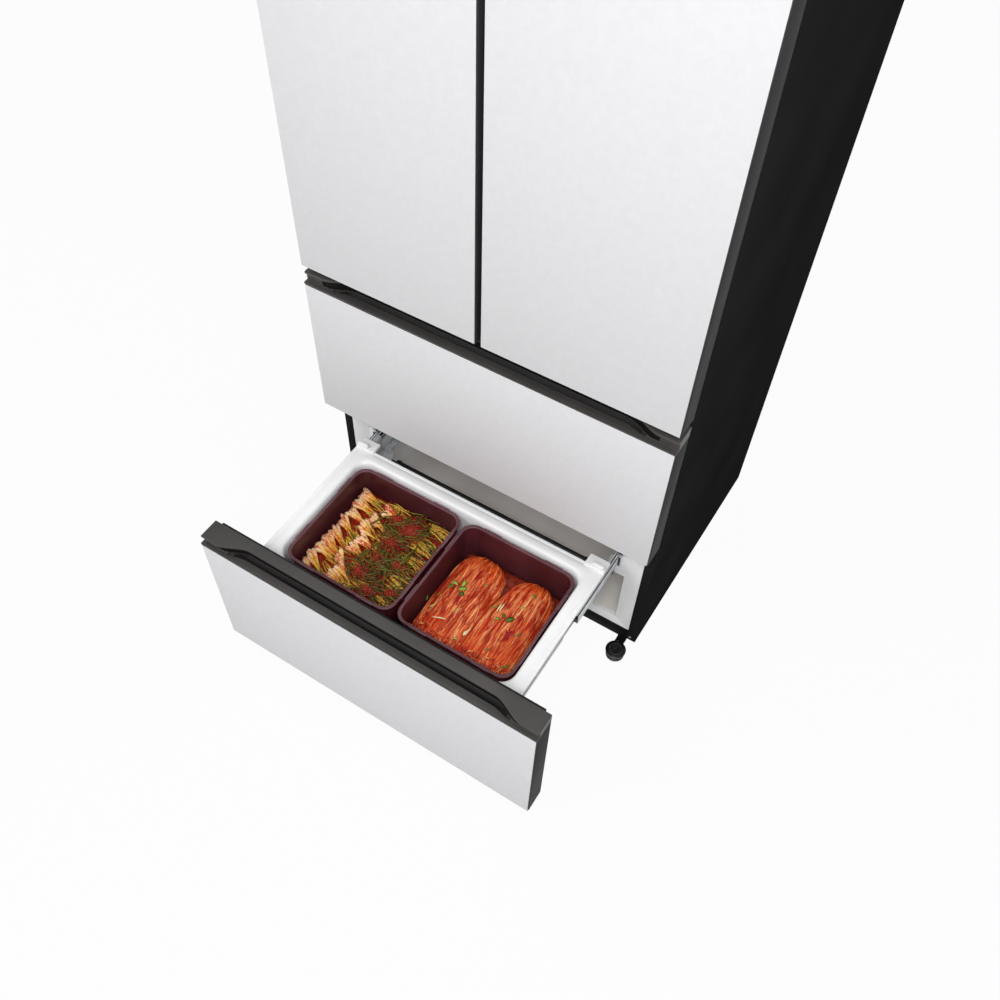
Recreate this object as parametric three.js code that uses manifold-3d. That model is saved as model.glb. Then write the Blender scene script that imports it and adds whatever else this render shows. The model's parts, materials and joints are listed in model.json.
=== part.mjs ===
// A four-door kimchi refrigerator: two hinged upper doors over two pull-out drawers.
// Millimetres, +Z up, +X to the right of someone facing the doors, doors facing -Y.
// The lower drawer stands open on its slides, with two food containers in its bin.
// All pieces are placed from the front plane of the closed doors (y = 0) and the floor (z = 0).

import * as THREE from 'three';
import { mergeVertices } from 'three/addons/utils/BufferGeometryUtils.js';
import Module from 'manifold-3d';

const wasm = await Module();
wasm.setup();

// ---------------------------------------------------------------- driving dimensions

const WIDTH = 834;
const CASE_BOTTOM = 25;
const CASE_TOP = 1830;
const CASE_BACK = 668;
const SHEET = 0.8;              // steel sheet of the case
const CASE_FLANGE = 22.5;       // front edge of the case, folded inwards
const DOOR_DEPTH = 55;          // front plane of a door or drawer to the back of its frame
const GASKET_DEPTH = 7;         // door frame to case, taken up by the gasket
const FIT = 0.3;                // gap between pieces that are fixed to each other
const OVERCUT = 2;              // how far a cutter runs past the surface it opens

const DRAWER_OPEN = 438.2;      // travel of a drawer on its slides
const LOWER_BOTTOM = 27.4;
const LOWER_PANEL = 367.5;      // height of the lower drawer's front panel with its frame
const LOWER_CAP = 24.5;         // height of the grip cap above the panel
const DRAWER_GAP = 16.5;        // lower grip cap to the drawer above
const MIDDLE_PANEL = 356.4;
const MIDDLE_CAP = 27.5;
const DOOR_RISE = 18.9;         // middle grip cap to the doors
const DOOR_DROP = 4;            // top of the case to the top of the doors
const DOOR_GAP = 11;            // between the two upper doors

const PANEL_THICK = 4;
const PANEL_INSET = 1;          // panel edge to frame edge
const GASKET_WIDTH = 14;
const GASKET_INSET = 15;        // frame edge to gasket, on drawers and on a door's free edges
const HINGE_SIDE_INSET = 22;    // frame edge to gasket beside a hinge
const DOOR_GASKET_INSET = 6.5;
const DRAWER_GASKET_INSET = 4;

// chambers
const LINER = 2;                // wall of the moulded liners
const MOUTH_DEPTH = 10;         // bevelled mouth of each chamber
const SIDE_WALL = 65;           // outside of the case to the inside of a chamber
const REAR_WALL = 50;
const ROOF = 55;
const PARTITION = 84;           // wall between the two upper chambers
const LOWER_STEP = 17;          // sill to the floor of the lower chamber
const LOWER_CEILING_DROP = 4.9; // drawer panel's top to the ceiling of its chamber
const MIDDLE_STEP = 29.1;
const MIDDLE_CEILING_DROP = 2.3;
const UPPER_STEP = 29.3;
const BAR_THICK = 2;            // front bars between the chambers
const BAR_LAP_BELOW = 18;       // how far a front bar reaches behind the front below it
const BAR_LAP_ABOVE = 18;
const TEE_LAP_ABOVE = 21;
const MULLION_HALF = 34;
const HUMP_DEPTH = 163;         // step of the lower chamber over the machine space
const HUMP_TOP = 228;
const MACHINE_INSET = 43;       // front of that step to the front of the machine space
const MACHINE_DROP = 32;
const FLOOR_PLATE = 2;
const FLOOR_PLATE_SETBACK = 5;

// sill, feet and rollers
const SILL_BOTTOM = 22;
const SILL_TOP = 63;
const SILL_DEPTH = 30;
const SILL_WALL = 2;
const FOOT_INSET = 30;          // side of the case to the middle of a foot
const FOOT_Y = 23;
const FOOT_RADIUS = 24.5;
const FOOT_NECK = 8;
const ARM_BOTTOM = 9.8;
const ARM_TOP = 16;
const EYE_RADIUS = 15;
const FOOT_TOP = 23;
const ROLLER_INSET = 67;
const ROLLER_SETBACK = 68;      // back of the case to the rollers
const ROLLER_RADIUS = 20;
const ROLLER_WIDTH = 22;
const AXLE_RADIUS = 4;
const BASE_SHEET = 1.2;

// grip cap
const CAP_LIP = 5.9;            // thickness of the lip along the top
const CAP_BASE = 4.3;           // thickness of the trim strip over the panel
const LIP_SETBACK = 6;
const LIP_SWEEP = 25;           // how far the lip sweeps back over the grip
const LIP_CURVE_OUTER = 39;     // side of the drawer to where the lip starts to sweep back
const LIP_CURVE_INNER = 114;
const NECK_SETBACK = 12;
const NECK_UNDERCUT = 2.5;
const LEDGE_EDGE = 9;
const LEDGE_BULGE = 9;
const LEDGE_CURVE_OUTER = 60;
const SLOT_INSET = 65;
const CURVE_STEPS = 7;
const POCKET_INSET = 77;
const POCKET_DEPTH = 36;
const POCKET_FRONT = 12;
const POCKET_BACK = 36;

// bins, in the closed position
const RIM_DROP = 49.9;          // panel top to the rim of the bin
const RIM_THICK = 6;
const RIM_CORNER = 6;
const RIM_INSET = 86;           // side of the drawer to the bin's rim
const RIM_WIDTH = 35;           // rim at the sides
const BIN_FRONT = 92;
const RIM_FRONT_WIDTH = 34;
const RIM_BACK_WIDTH = 32;
const RIM_CLEARANCE = 15;       // bin's rim to the step at the back of the chamber
const BIN_DEPTH = 247;          // rim to floor, inside
const BIN_WALL = 3;
const BIN_DRAFT = 13;
const BIN_CORNER = 34;
const SKIRT = 4.7;
const SKIRT_DEPTH = 40;
const SKIRT_SETBACK = 8;
const TAB_WIDTH = 49;           // ear at each rear corner of the rim
const TAB_LAP = 10;
const TAB_REACH = 23;
const TAB_RISE = 5;
const TAB_BAR = { inner: 32, outer: 4, front: 8, back: 4, rise: 15 };

// slides, measured inwards from the chamber wall
const SLIDE_STANDOFF = 14;      // chamber wall to the outside of the slide
const SLIDE_DROP = 22;          // rim of the bin to the top of the slide
const SLIDE_HEIGHT = 35;
const SLIDE_STEEL = 1.6;
const SLIDE_GAP = 0.5;          // running gap between two members
const SLIDE_REACH = 12;         // flange of a slide member
const SLIDE_PITCH = 6;          // from the web of one member to the next
const RAIL_FRONT = 66;
const RAIL_SETBACK = 102;       // back of the chamber to the end of the slides
const MEMBER_FRONT = 105;
const MEMBER_SHORT = 2;
const RUNNER_SHORT = 10;
const SEAT_DEPTH = 38;          // moulded seat of the slide on the liner, below the slide

// rack and pinions that keep a drawer square
const GEAR_MODULE = 2.25;
const GEAR_TEETH = 8;
const TOOTH_TIP = 1.5;          // height above the pitch line
const TOOTH_ROOT = 1.9;         // depth below the pitch line
const TOOTH_SHARE = 0.36;       // tooth width at the pitch line, as a share of the pitch
const GEAR_WIDTH = 12;
const GEAR_OFFSET = 6;          // inside of the runner's web to the inside of the pinion
const SHAFT_RADIUS = 3;
const SHAFT_DROP = 86;          // rim of the bin to the shaft
const SHAFT_BACK = 56;          // behind the back of the bin's rim
const SHAFT_RUN = 0.4;          // running gap of a shaft in its hole
const RACK_BODY = 6;
const RACK_FRONT = 57;
const RACK_SLOPE = 0.36;        // lean of a tooth flank
const BRACKET = { steel: 2, inner: 41, front: 10, rise: 14, finX: 17, finBack: 13, finFoot: 8 };
const EAR_STEEL = 2;
const EAR_FRONT = 11;
const LUG = { inner: 18, drop: 20 };

// containers and their contents
const BOX_GAP = 10;             // between the two containers
const BOX_SIDE_GAP = 6;         // container to the bin's wall
const BOX_FRONT_GAP = 11;
const BOX_BACK_GAP = 8;
const BOX_RIM_DROP = 10;        // bin rim to container rim
const BOX_RIM = 4;
const BOX_WALL = 2.5;
const BOX_DRAFT = 10;
const BOX_CORNER = 30;
const FOOD_GAP = 0.6;
const ONION_DROP = 52;          // container rim to the top of the food
const ONION_MOUND = { low: 12, shoulder: 20, top: 36, depth: 24, lip: 3, bed: 8 };
const CABBAGE_DROP = 52;
const CABBAGE_BED = 38;
const HEAD = { wall: 13, gap: 1, corner: 10, front: 22, back: 20, stagger: 2, slope: 0.8 };
const HEAD_LAYERS = [[0, -44], [4, -22], [16, -7], [32, 0]];
const BED_EDGE = { low: 2, top: 16, height: 12 };

// hinges
const HINGE_INSET = 20;         // side of a door to its hinge pin
const HINGE_Y = 28;
const PIN_RADIUS = 4.7;
const PIN_RUN = 0.4;
const PIN_LENGTH = 24;
const PIN_SHORT = 2;
const HINGE_STEEL = 3;
const HINGE_ARM = 13;           // half width of a hinge arm
const MIDDLE_ARM = 15;
const HINGE_NOSE = 14;
const TOP_ARM_BACK = 80;
const ARM_RISE = 7;             // middle grip cap to the middle hinge arm
const TAB_CLEAR = 1.5;          // hinge tab to the door that swings over it
const COVER_INSET = 3;
const COVER_SETBACK = 4;
const COVER_DEPTH = 110;
const COVER_HEIGHT = 30;
const COVER_WALL = 2.5;

// ---------------------------------------------------------------- derived places

const HALF = WIDTH / 2;
const CASE_FRONT = DOOR_DEPTH + GASKET_DEPTH;
const FLANGE_INNER = HALF - CASE_FLANGE;

function drawerFront(bottom, panel, cap) {
  return { bottom, panelTop: bottom + panel, capTop: bottom + panel + cap };
}

const LOWER_FRONT = drawerFront(LOWER_BOTTOM, LOWER_PANEL, LOWER_CAP);
const MIDDLE_FRONT = drawerFront(LOWER_FRONT.capTop + DRAWER_GAP, MIDDLE_PANEL, MIDDLE_CAP);
const DOOR_BOTTOM = MIDDLE_FRONT.capTop + DOOR_RISE;
const DOOR_TOP = CASE_TOP - DOOR_DROP;

const CHAMBER_HALF = HALF - SIDE_WALL;
const CHAMBER_BACK = CASE_BACK - REAR_WALL;
const HUMP_FRONT = CHAMBER_BACK - HUMP_DEPTH;
const MACHINE_FRONT = HUMP_FRONT + MACHINE_INSET;
const MACHINE_TOP = HUMP_TOP - MACHINE_DROP;
const CROSSBAR = { bottom: LOWER_FRONT.capTop - BAR_LAP_BELOW, top: MIDDLE_FRONT.bottom + BAR_LAP_ABOVE };
const TEE = { bottom: MIDDLE_FRONT.capTop - BAR_LAP_BELOW, top: DOOR_BOTTOM + TEE_LAP_ABOVE };
const MOUTH_EDGE = FIT + LINER;
const MOUTH_HALF = FLANGE_INNER - MOUTH_EDGE;
const MOUTH_BACK = CASE_FRONT + MOUTH_DEPTH;
const SILL_BACK = CASE_FRONT + SILL_DEPTH;
const LINER_FRONT = CASE_FRONT + FIT;
const WEB_FRONT = CASE_FRONT + BAR_THICK + FIT;
const INNER_BACK = CASE_BACK - SHEET - FIT;
const BASE_TOP = CASE_BOTTOM + BASE_SHEET;
const FOOT_X = HALF - FOOT_INSET;
const ROLLER_X = HALF - ROLLER_INSET;
const ROLLER_Y = CASE_BACK - ROLLER_SETBACK;
const HINGE_X = HALF - HINGE_INSET;

const LIP_CURVE = { outer: HALF - LIP_CURVE_OUTER, inner: HALF - LIP_CURVE_INNER };
const LEDGE_CURVE = { outer: HALF - LEDGE_CURVE_OUTER, inner: HALF - LIP_CURVE_INNER };
const SLOT_HALF = HALF - SLOT_INSET;
const POCKET_HALF = HALF - POCKET_INSET;

const RIM_HALF = HALF - RIM_INSET;
const BIN_HALF = RIM_HALF - RIM_WIDTH;
const BIN_RIM_FRONT = BIN_FRONT - RIM_FRONT_WIDTH;
const BIN_RIM_BACK = HUMP_FRONT - RIM_CLEARANCE;
const BIN_BACK = BIN_RIM_BACK - RIM_BACK_WIDTH;
const BOX_WIDTH = BIN_HALF - BOX_SIDE_GAP - BOX_GAP / 2;
const BOX_FRONT = BIN_FRONT + BOX_FRONT_GAP;
const BOX_BACK = BIN_BACK - BOX_BACK_GAP;

const PINION_RADIUS = GEAR_MODULE * GEAR_TEETH / 2;
const SHAFT_Y = BIN_RIM_BACK + SHAFT_BACK;
const RAIL_BACK = CHAMBER_BACK - RAIL_SETBACK;
const OUTER_WEB = CHAMBER_HALF - SLIDE_STANDOFF;
const MIDDLE_WEB = OUTER_WEB - SLIDE_PITCH;
const INNER_WEB = OUTER_WEB - 2 * SLIDE_PITCH - SLIDE_REACH;
const RUNNER_BACK = RAIL_BACK - RUNNER_SHORT;
const GEAR_INNER = INNER_WEB - GEAR_OFFSET;
const TOTAL_FRONT = -DRAWER_OPEN;
const SHIFT_Y = -(TOTAL_FRONT + CASE_BACK) / 2;

const LOWER_CHAMBER = {
  left: -CHAMBER_HALF,
  right: CHAMBER_HALF,
  floor: SILL_TOP + LOWER_STEP,
  ceiling: LOWER_FRONT.panelTop - LOWER_CEILING_DROP,
  mouth: {
    left: -MOUTH_HALF, right: MOUTH_HALF,
    bottom: SILL_TOP + MOUTH_EDGE, top: CROSSBAR.bottom - MOUTH_EDGE,
  },
};
const MIDDLE_CHAMBER = {
  left: -CHAMBER_HALF,
  right: CHAMBER_HALF,
  floor: MIDDLE_FRONT.bottom + MIDDLE_STEP,
  ceiling: MIDDLE_FRONT.panelTop - MIDDLE_CEILING_DROP,
  mouth: {
    left: -MOUTH_HALF, right: MOUTH_HALF,
    bottom: CROSSBAR.top + MOUTH_EDGE, top: TEE.bottom - MOUTH_EDGE,
  },
};
const UPPER_CHAMBER = {
  left: PARTITION / 2,
  right: CHAMBER_HALF,
  floor: DOOR_BOTTOM + UPPER_STEP,
  ceiling: CASE_TOP - ROOF,
  mouth: {
    left: MULLION_HALF + MOUTH_EDGE, right: MOUTH_HALF,
    bottom: TEE.top + MOUTH_EDGE, top: CASE_TOP - CASE_FLANGE - MOUTH_EDGE,
  },
};

// ---------------------------------------------------------------- finishes

function finish(color, roughness, metalness = 0, extra = {}) {
  return { color, roughness, metalness, ...extra };
}

const CHARCOAL_STEEL = finish(0x2f3030, 0.45, 0.2);
const GALVANISED = finish(0x9a9c9d, 0.4, 0.8);
const BLACK_STEEL = finish(0x141414, 0.5, 0.2);
const PANEL_WHITE = finish(0xdadadb, 0.55);
const FRAME_GREY = finish(0x3d3d3e, 0.5);
const CAP_GREY = finish(0x4a4745, 0.45);
const GASKET_BLACK = finish(0x1d2224, 0.8);
const LINER_WHITE = finish(0xeeeeee, 0.4);
const BIN_WHITE = finish(0xf2f2f2, 0.35);
const RAIL_STEEL = finish(0xa9adaf, 0.3, 0.9);
const FLOOR_METAL = finish(0x8d8884, 0.35, 0.8);
const FOAM = finish(0xe8dcae, 0.9);
const SHAFT_BLACK = finish(0x0f0f10, 0.4);
const BURGUNDY = finish(0x5a2a2c, 0.2, 0, { transparent: true, opacity: 0.85 });
const ONION_RED = finish(0xb8622f, 0.4);
const CABBAGE_RED = finish(0xc8502e, 0.4);
const COMPRESSOR_BLACK = finish(0x1b1c1e, 0.4, 0.3);
const SHELF_GLASS = finish(0xcfd8da, 0.1, 0, { transparent: true, opacity: 0.5 });
const FOOT_BLACK = finish(0x121212, 0.5);
const ROLLER_GREY = finish(0x55585a, 0.6);

// ---------------------------------------------------------------- solids

function solid(geometry) {
  const bare = geometry.clone();
  bare.deleteAttribute('normal');
  bare.deleteAttribute('uv');
  const merged = mergeVertices(bare, 1e-3);
  return new wasm.Manifold(new wasm.Mesh({
    numProp: 3,
    vertProperties: Float32Array.from(merged.attributes.position.array),
    triVerts: Uint32Array.from(merged.index.array),
  }));
}

function geometryOf(manifold) {
  const mesh = manifold.getMesh();
  const geometry = new THREE.BufferGeometry();
  geometry.setAttribute('position', new THREE.BufferAttribute(Float32Array.from(mesh.vertProperties), 3));
  geometry.setIndex(new THREE.BufferAttribute(Uint32Array.from(mesh.triVerts), 1));
  geometry.computeVertexNormals();
  return geometry;
}

function block(x0, x1, y0, y1, z0, z1) {
  const size = new THREE.BoxGeometry(Math.abs(x1 - x0), Math.abs(y1 - y0), Math.abs(z1 - z0));
  size.translate((x0 + x1) / 2, (y0 + y1) / 2, (z0 + z1) / 2);
  return solid(size);
}

function rod(axis, radius, centre, length, sides = 24) {
  const cylinder = new THREE.CylinderGeometry(radius, radius, length, sides);
  if (axis === 'x') cylinder.rotateZ(Math.PI / 2);
  if (axis === 'z') cylinder.rotateX(Math.PI / 2);
  cylinder.translate(...centre);
  return solid(cylinder);
}

// a flat outline in x and y, raised from z0 to z1
function raised(outline, z0, z1) {
  const shape = new THREE.Shape(outline.map(([x, y]) => new THREE.Vector2(x, y)));
  const extruded = new THREE.ExtrudeGeometry(shape, { depth: z1 - z0, bevelEnabled: false });
  extruded.translate(0, 0, z0);
  return solid(extruded);
}

// a profile in y and z, drawn out along x from x0 to x1
function drawnAlongX(profile, x0, x1) {
  const shape = new THREE.Shape(profile.map(([y, z]) => new THREE.Vector2(y, z)));
  const extruded = new THREE.ExtrudeGeometry(shape, { depth: x1 - x0, bevelEnabled: false });
  extruded.rotateY(Math.PI / 2);
  extruded.rotateX(Math.PI / 2);
  extruded.translate(x0, 0, 0);
  return solid(extruded);
}

// closed body through convex rings of equal length, each anticlockwise from above, lowest first
function loft(rings) {
  const count = rings[0].length;
  const positions = rings.flat(2);
  const index = [];
  for (let level = 0; level + 1 < rings.length; level += 1) {
    for (let i = 0; i < count; i += 1) {
      const next = (i + 1) % count;
      const a = level * count + i;
      const b = level * count + next;
      index.push(a, b, b + count);
      index.push(a, b + count, a + count);
    }
  }
  const top = (rings.length - 1) * count;
  for (let i = 1; i + 1 < count; i += 1) {
    index.push(0, i + 1, i);
    index.push(top, top + i, top + i + 1);
  }
  const geometry = new THREE.BufferGeometry();
  geometry.setAttribute('position', new THREE.Float32BufferAttribute(positions, 3));
  geometry.setIndex(index);
  return solid(geometry);
}

function roundedRing(x0, x1, y0, y1, radius, z, steps = 4) {
  const corners = [
    [x1 - radius, y0 + radius, -Math.PI / 2],
    [x1 - radius, y1 - radius, 0],
    [x0 + radius, y1 - radius, Math.PI / 2],
    [x0 + radius, y0 + radius, Math.PI],
  ];
  const ring = [];
  for (const [cx, cy, start] of corners) {
    for (let i = 0; i <= steps; i += 1) {
      const angle = start + (Math.PI / 2) * (i / steps);
      ring.push([cx + radius * Math.cos(angle), cy + radius * Math.sin(angle), z]);
    }
  }
  return ring;
}

function union(pieces) {
  return pieces.reduce((whole, piece) => whole.add(piece));
}

function mirroredX(geometry) {
  const flipped = geometry.clone();
  flipped.scale(-1, 1, 1);
  const index = flipped.index.array;
  for (let i = 0; i < index.length; i += 3) {
    const keep = index[i];
    index[i] = index[i + 1];
    index[i + 1] = keep;
  }
  flipped.computeVertexNormals();
  return flipped;
}

// ---------------------------------------------------------------- the model

const fridge = new THREE.Group();
fridge.position.y = SHIFT_Y;
const openDrawer = new THREE.Group();
openDrawer.position.y = -DRAWER_OPEN;
const halfOpen = new THREE.Group();
halfOpen.position.y = -DRAWER_OPEN / 2;
fridge.add(openDrawer, halfOpen);

function addPiece(name, shape, look, group = fridge) {
  const geometry = shape instanceof THREE.BufferGeometry ? shape : geometryOf(shape);
  const mesh = new THREE.Mesh(geometry, new THREE.MeshStandardMaterial(look));
  mesh.name = name;
  group.add(mesh);
}

function addPair(name, rightShape, look, group = fridge) {
  const geometry = geometryOf(rightShape);
  addPiece(`${name}_right`, geometry, look, group);
  addPiece(`${name}_left`, mirroredX(geometry), look, group);
}

// ---------------------------------------------------------------- case

function outerCase() {
  const shell = block(-HALF, HALF, CASE_FRONT, CASE_BACK, CASE_BOTTOM, CASE_TOP);
  const hollow = block(
    -HALF + SHEET, HALF - SHEET, CASE_FRONT + SHEET, CASE_BACK + OVERCUT,
    CASE_BOTTOM - OVERCUT, CASE_TOP - SHEET,
  );
  const window = block(
    -FLANGE_INNER, FLANGE_INNER, CASE_FRONT - OVERCUT, CASE_FRONT + SHEET + OVERCUT,
    CASE_BOTTOM - OVERCUT, CASE_TOP - CASE_FLANGE,
  );
  return shell.subtract(hollow).subtract(window);
}

function rearPanel() {
  const half = HALF - SHEET - FIT;
  return block(-half, half, CASE_BACK - SHEET, CASE_BACK, MACHINE_TOP, CASE_TOP - SHEET - FIT);
}

const VENT = { width: 8, height: 70, pitch: 22, count: 6, bottom: 60, centre: 200 };

function machineCover() {
  const half = HALF - SHEET - FIT;
  let cover = block(-half, half, CASE_BACK - SHEET, CASE_BACK, CASE_BOTTOM, MACHINE_TOP - FIT);
  for (const side of [-1, 1]) {
    for (let i = 0; i < VENT.count; i += 1) {
      const x = side * VENT.centre + (i - (VENT.count - 1) / 2) * VENT.pitch;
      cover = cover.subtract(block(
        x - VENT.width / 2, x + VENT.width / 2, CASE_BACK - SHEET - OVERCUT, CASE_BACK + OVERCUT,
        VENT.bottom, VENT.bottom + VENT.height,
      ));
    }
  }
  return cover;
}

const EAR = { thick: 2, gap: 0.5, reach: 12, bottom: 12 };

function basePan() {
  const half = HALF - SHEET - FIT;
  let pan = block(-half, half, SILL_BACK + FIT, INNER_BACK, CASE_BOTTOM, BASE_TOP);
  const inner = ROLLER_WIDTH / 2 + EAR.gap;
  const outer = inner + EAR.thick;
  for (const side of [-1, 1]) {
    const x = side * ROLLER_X;
    pan = pan.subtract(block(
      x - inner, x + inner, ROLLER_Y - ROLLER_RADIUS - OVERCUT, ROLLER_Y + ROLLER_RADIUS + OVERCUT,
      CASE_BOTTOM - OVERCUT, BASE_TOP + OVERCUT,
    ));
    for (const edge of [-1, 1]) {
      pan = pan.add(block(
        x + edge * inner, x + edge * outer, ROLLER_Y - EAR.reach, ROLLER_Y + EAR.reach,
        EAR.bottom, BASE_TOP,
      ));
    }
    pan = pan.add(rod('x', AXLE_RADIUS, [x, ROLLER_Y, ROLLER_RADIUS], 2 * outer, 16));
  }
  return pan;
}

function frontSill() {
  const half = FLANGE_INNER - FIT;
  const bar = block(-half, half, CASE_FRONT, SILL_BACK, SILL_BOTTOM, SILL_TOP);
  const hollow = block(
    -half + SILL_WALL, half - SILL_WALL, CASE_FRONT + SILL_WALL, SILL_BACK - SILL_WALL,
    SILL_BOTTOM - OVERCUT, SILL_TOP - SILL_WALL,
  );
  let sill = bar.subtract(hollow);
  const armInner = FOOT_X - EYE_RADIUS;
  const armThick = ARM_TOP - ARM_BOTTOM;
  for (const side of [-1, 1]) {
    const arm = block(side * armInner, side * half, FOOT_Y, SILL_BACK, ARM_BOTTOM, ARM_TOP);
    const riser = block(
      side * armInner, side * half, CASE_FRONT, SILL_BACK, ARM_BOTTOM, SILL_BOTTOM + SILL_WALL,
    );
    const eyeCentre = [side * FOOT_X, FOOT_Y, (ARM_BOTTOM + ARM_TOP) / 2];
    const eye = rod('z', EYE_RADIUS, eyeCentre, armThick, 16);
    const hole = rod('z', FOOT_NECK + SHAFT_RUN, eyeCentre, armThick + 2 * OVERCUT, 16);
    sill = sill.add(union([arm, riser, eye]).subtract(hole));
  }
  return sill;
}

// ---------------------------------------------------------------- chambers

// the room of a chamber with its bevelled mouth, grown outwards by a wall or a clearance
function chamberRoom(chamber, grow, front) {
  const { left, right, floor, ceiling, mouth } = chamber;
  const box = block(
    left - grow, right + grow, MOUTH_BACK - 1, CHAMBER_BACK + grow, floor - grow, ceiling + grow,
  );
  const bevel = new THREE.BoxGeometry(1, 1, 1);
  const corners = bevel.attributes.position;
  for (let i = 0; i < corners.count; i += 1) {
    const y = corners.getY(i) < 0 ? front : MOUTH_BACK;
    const share = (MOUTH_BACK - y) / (MOUTH_BACK - LINER_FRONT);
    const between = (inner, outer) => inner + (outer - inner) * share;
    const isLeft = corners.getX(i) < 0;
    const isLow = corners.getZ(i) < 0;
    corners.setX(i, isLeft ? between(left, mouth.left) - grow : between(right, mouth.right) + grow);
    corners.setZ(i, isLow ? between(floor, mouth.bottom) - grow : between(ceiling, mouth.top) + grow);
    corners.setY(i, y);
  }
  return box.add(solid(bevel));
}

// the raised floor over the machine space, shrunk by the same wall or clearance
function hump(grow) {
  return block(
    -HALF, HALF, HUMP_FRONT + grow, CASE_BACK, SILL_TOP - OVERCUT, HUMP_TOP - grow,
  );
}

function lowerRoom(grow, front) {
  return chamberRoom(LOWER_CHAMBER, grow, front).subtract(hump(grow));
}

function mirrorChamber(chamber) {
  return {
    ...chamber, left: -chamber.right, right: -chamber.left,
    mouth: { ...chamber.mouth, left: -chamber.mouth.right, right: -chamber.mouth.left },
  };
}

// the liner's moulded seat for the slide on the right
function slideSeat(rimTop) {
  const [low, high] = slideLevels(rimTop).outer;
  const seatBottom = low - SEAT_DEPTH;
  const wallInside = CHAMBER_HALF + LINER / 2;
  const upright = block(OUTER_WEB + FIT, wallInside, MOUTH_BACK, RAIL_BACK, seatBottom, high);
  const ledge = block(RACK_OUTER + FIT, wallInside, MOUTH_BACK, RAIL_BACK, seatBottom, low - FIT);
  return upright.add(ledge);
}

function drawerLiner() {
  const walls = lowerRoom(LINER, LINER_FRONT).add(chamberRoom(MIDDLE_CHAMBER, LINER, LINER_FRONT));
  const web = block(
    -MOUTH_HALF, MOUTH_HALF, WEB_FRONT, WEB_FRONT + LINER,
    LOWER_CHAMBER.mouth.top - LINER, MIDDLE_CHAMBER.mouth.bottom + LINER,
  );
  const front = CASE_FRONT - OVERCUT;
  const rooms = lowerRoom(0, front).add(chamberRoom(MIDDLE_CHAMBER, 0, front));
  const seats = [LOWER_FRONT, MIDDLE_FRONT].map(({ panelTop }) => slideSeat(panelTop - RIM_DROP));
  const mirrored = seats.map((seat) => solid(mirroredX(geometryOf(seat))));
  return union([walls.add(web).subtract(rooms), ...seats, ...mirrored]);
}

const SHELF = { height: 1300, thick: 8, front: 120, rib: 6, ribDrop: 5 };

function upperLiner() {
  const leftChamber = mirrorChamber(UPPER_CHAMBER);
  const walls = union([UPPER_CHAMBER, leftChamber].map((room) => chamberRoom(room, LINER, LINER_FRONT)));
  const web = block(
    -UPPER_CHAMBER.mouth.left, UPPER_CHAMBER.mouth.left, WEB_FRONT, WEB_FRONT + LINER,
    UPPER_CHAMBER.mouth.bottom, UPPER_CHAMBER.mouth.top,
  );
  const front = CASE_FRONT - OVERCUT;
  const rooms = chamberRoom(UPPER_CHAMBER, 0, front).add(chamberRoom(leftChamber, 0, front));
  let liner = walls.add(web).subtract(rooms);
  for (const side of [-1, 1]) {
    for (const [wall, inward] of [[UPPER_CHAMBER.left, 1], [UPPER_CHAMBER.right, -1]]) {
      liner = liner.add(block(
        side * (wall - inward * LINER / 2), side * (wall + inward * SHELF.rib),
        SHELF.front, CHAMBER_BACK + LINER / 2, SHELF.height - FIT - SHELF.ribDrop, SHELF.height - FIT,
      ));
    }
  }
  return liner;
}

function shelf() {
  return block(
    UPPER_CHAMBER.left + FIT, UPPER_CHAMBER.right - FIT, SHELF.front, CHAMBER_BACK - FIT,
    SHELF.height, SHELF.height + SHELF.thick,
  );
}

function foamInsulation() {
  const half = HALF - SHEET - FIT;
  const front = CASE_FRONT + SHEET + FIT;
  const grow = LINER + FIT;
  const leftChamber = mirrorChamber(UPPER_CHAMBER);
  const mass = block(-half, half, front, INNER_BACK, BASE_TOP + FIT, CASE_TOP - SHEET - FIT);
  const frontBars = block(
    -FLANGE_INNER, FLANGE_INNER, front - OVERCUT, WEB_FRONT + LINER + FIT,
    SILL_BOTTOM, CASE_TOP - CASE_FLANGE,
  );
  const sillSpace = block(
    -FLANGE_INNER, FLANGE_INNER, front - OVERCUT, SILL_BACK + FIT, SILL_BOTTOM, SILL_TOP + FIT,
  );
  const machineSpace = block(-HALF, HALF, MACHINE_FRONT, CASE_BACK, CASE_BOTTOM, MACHINE_TOP);
  const openFront = CASE_FRONT - OVERCUT;
  return mass
    .subtract(lowerRoom(grow, openFront))
    .subtract(chamberRoom(MIDDLE_CHAMBER, grow, openFront))
    .subtract(chamberRoom(UPPER_CHAMBER, grow, openFront))
    .subtract(chamberRoom(leftChamber, grow, openFront))
    .subtract(frontBars)
    .subtract(sillSpace)
    .subtract(machineSpace);
}

function mullionTee() {
  const half = FLANGE_INNER - FIT;
  const bar = block(-half, half, CASE_FRONT, CASE_FRONT + BAR_THICK, TEE.bottom, TEE.top);
  const post = block(
    -MULLION_HALF, MULLION_HALF, CASE_FRONT, CASE_FRONT + BAR_THICK,
    TEE.top - OVERCUT, CASE_TOP - CASE_FLANGE - FIT,
  );
  return bar.add(post);
}

function lowerCrossbar() {
  const half = FLANGE_INNER - FIT;
  return block(-half, half, CASE_FRONT, CASE_FRONT + BAR_THICK, CROSSBAR.bottom, CROSSBAR.top);
}

function floorPlate() {
  const half = CHAMBER_HALF - FIT;
  const bottom = LOWER_CHAMBER.floor + FIT;
  return block(
    -half, half, MOUTH_BACK + FLOOR_PLATE_SETBACK, HUMP_FRONT - FIT, bottom, bottom + FLOOR_PLATE,
  );
}

// ---------------------------------------------------------------- cooling machine

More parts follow.
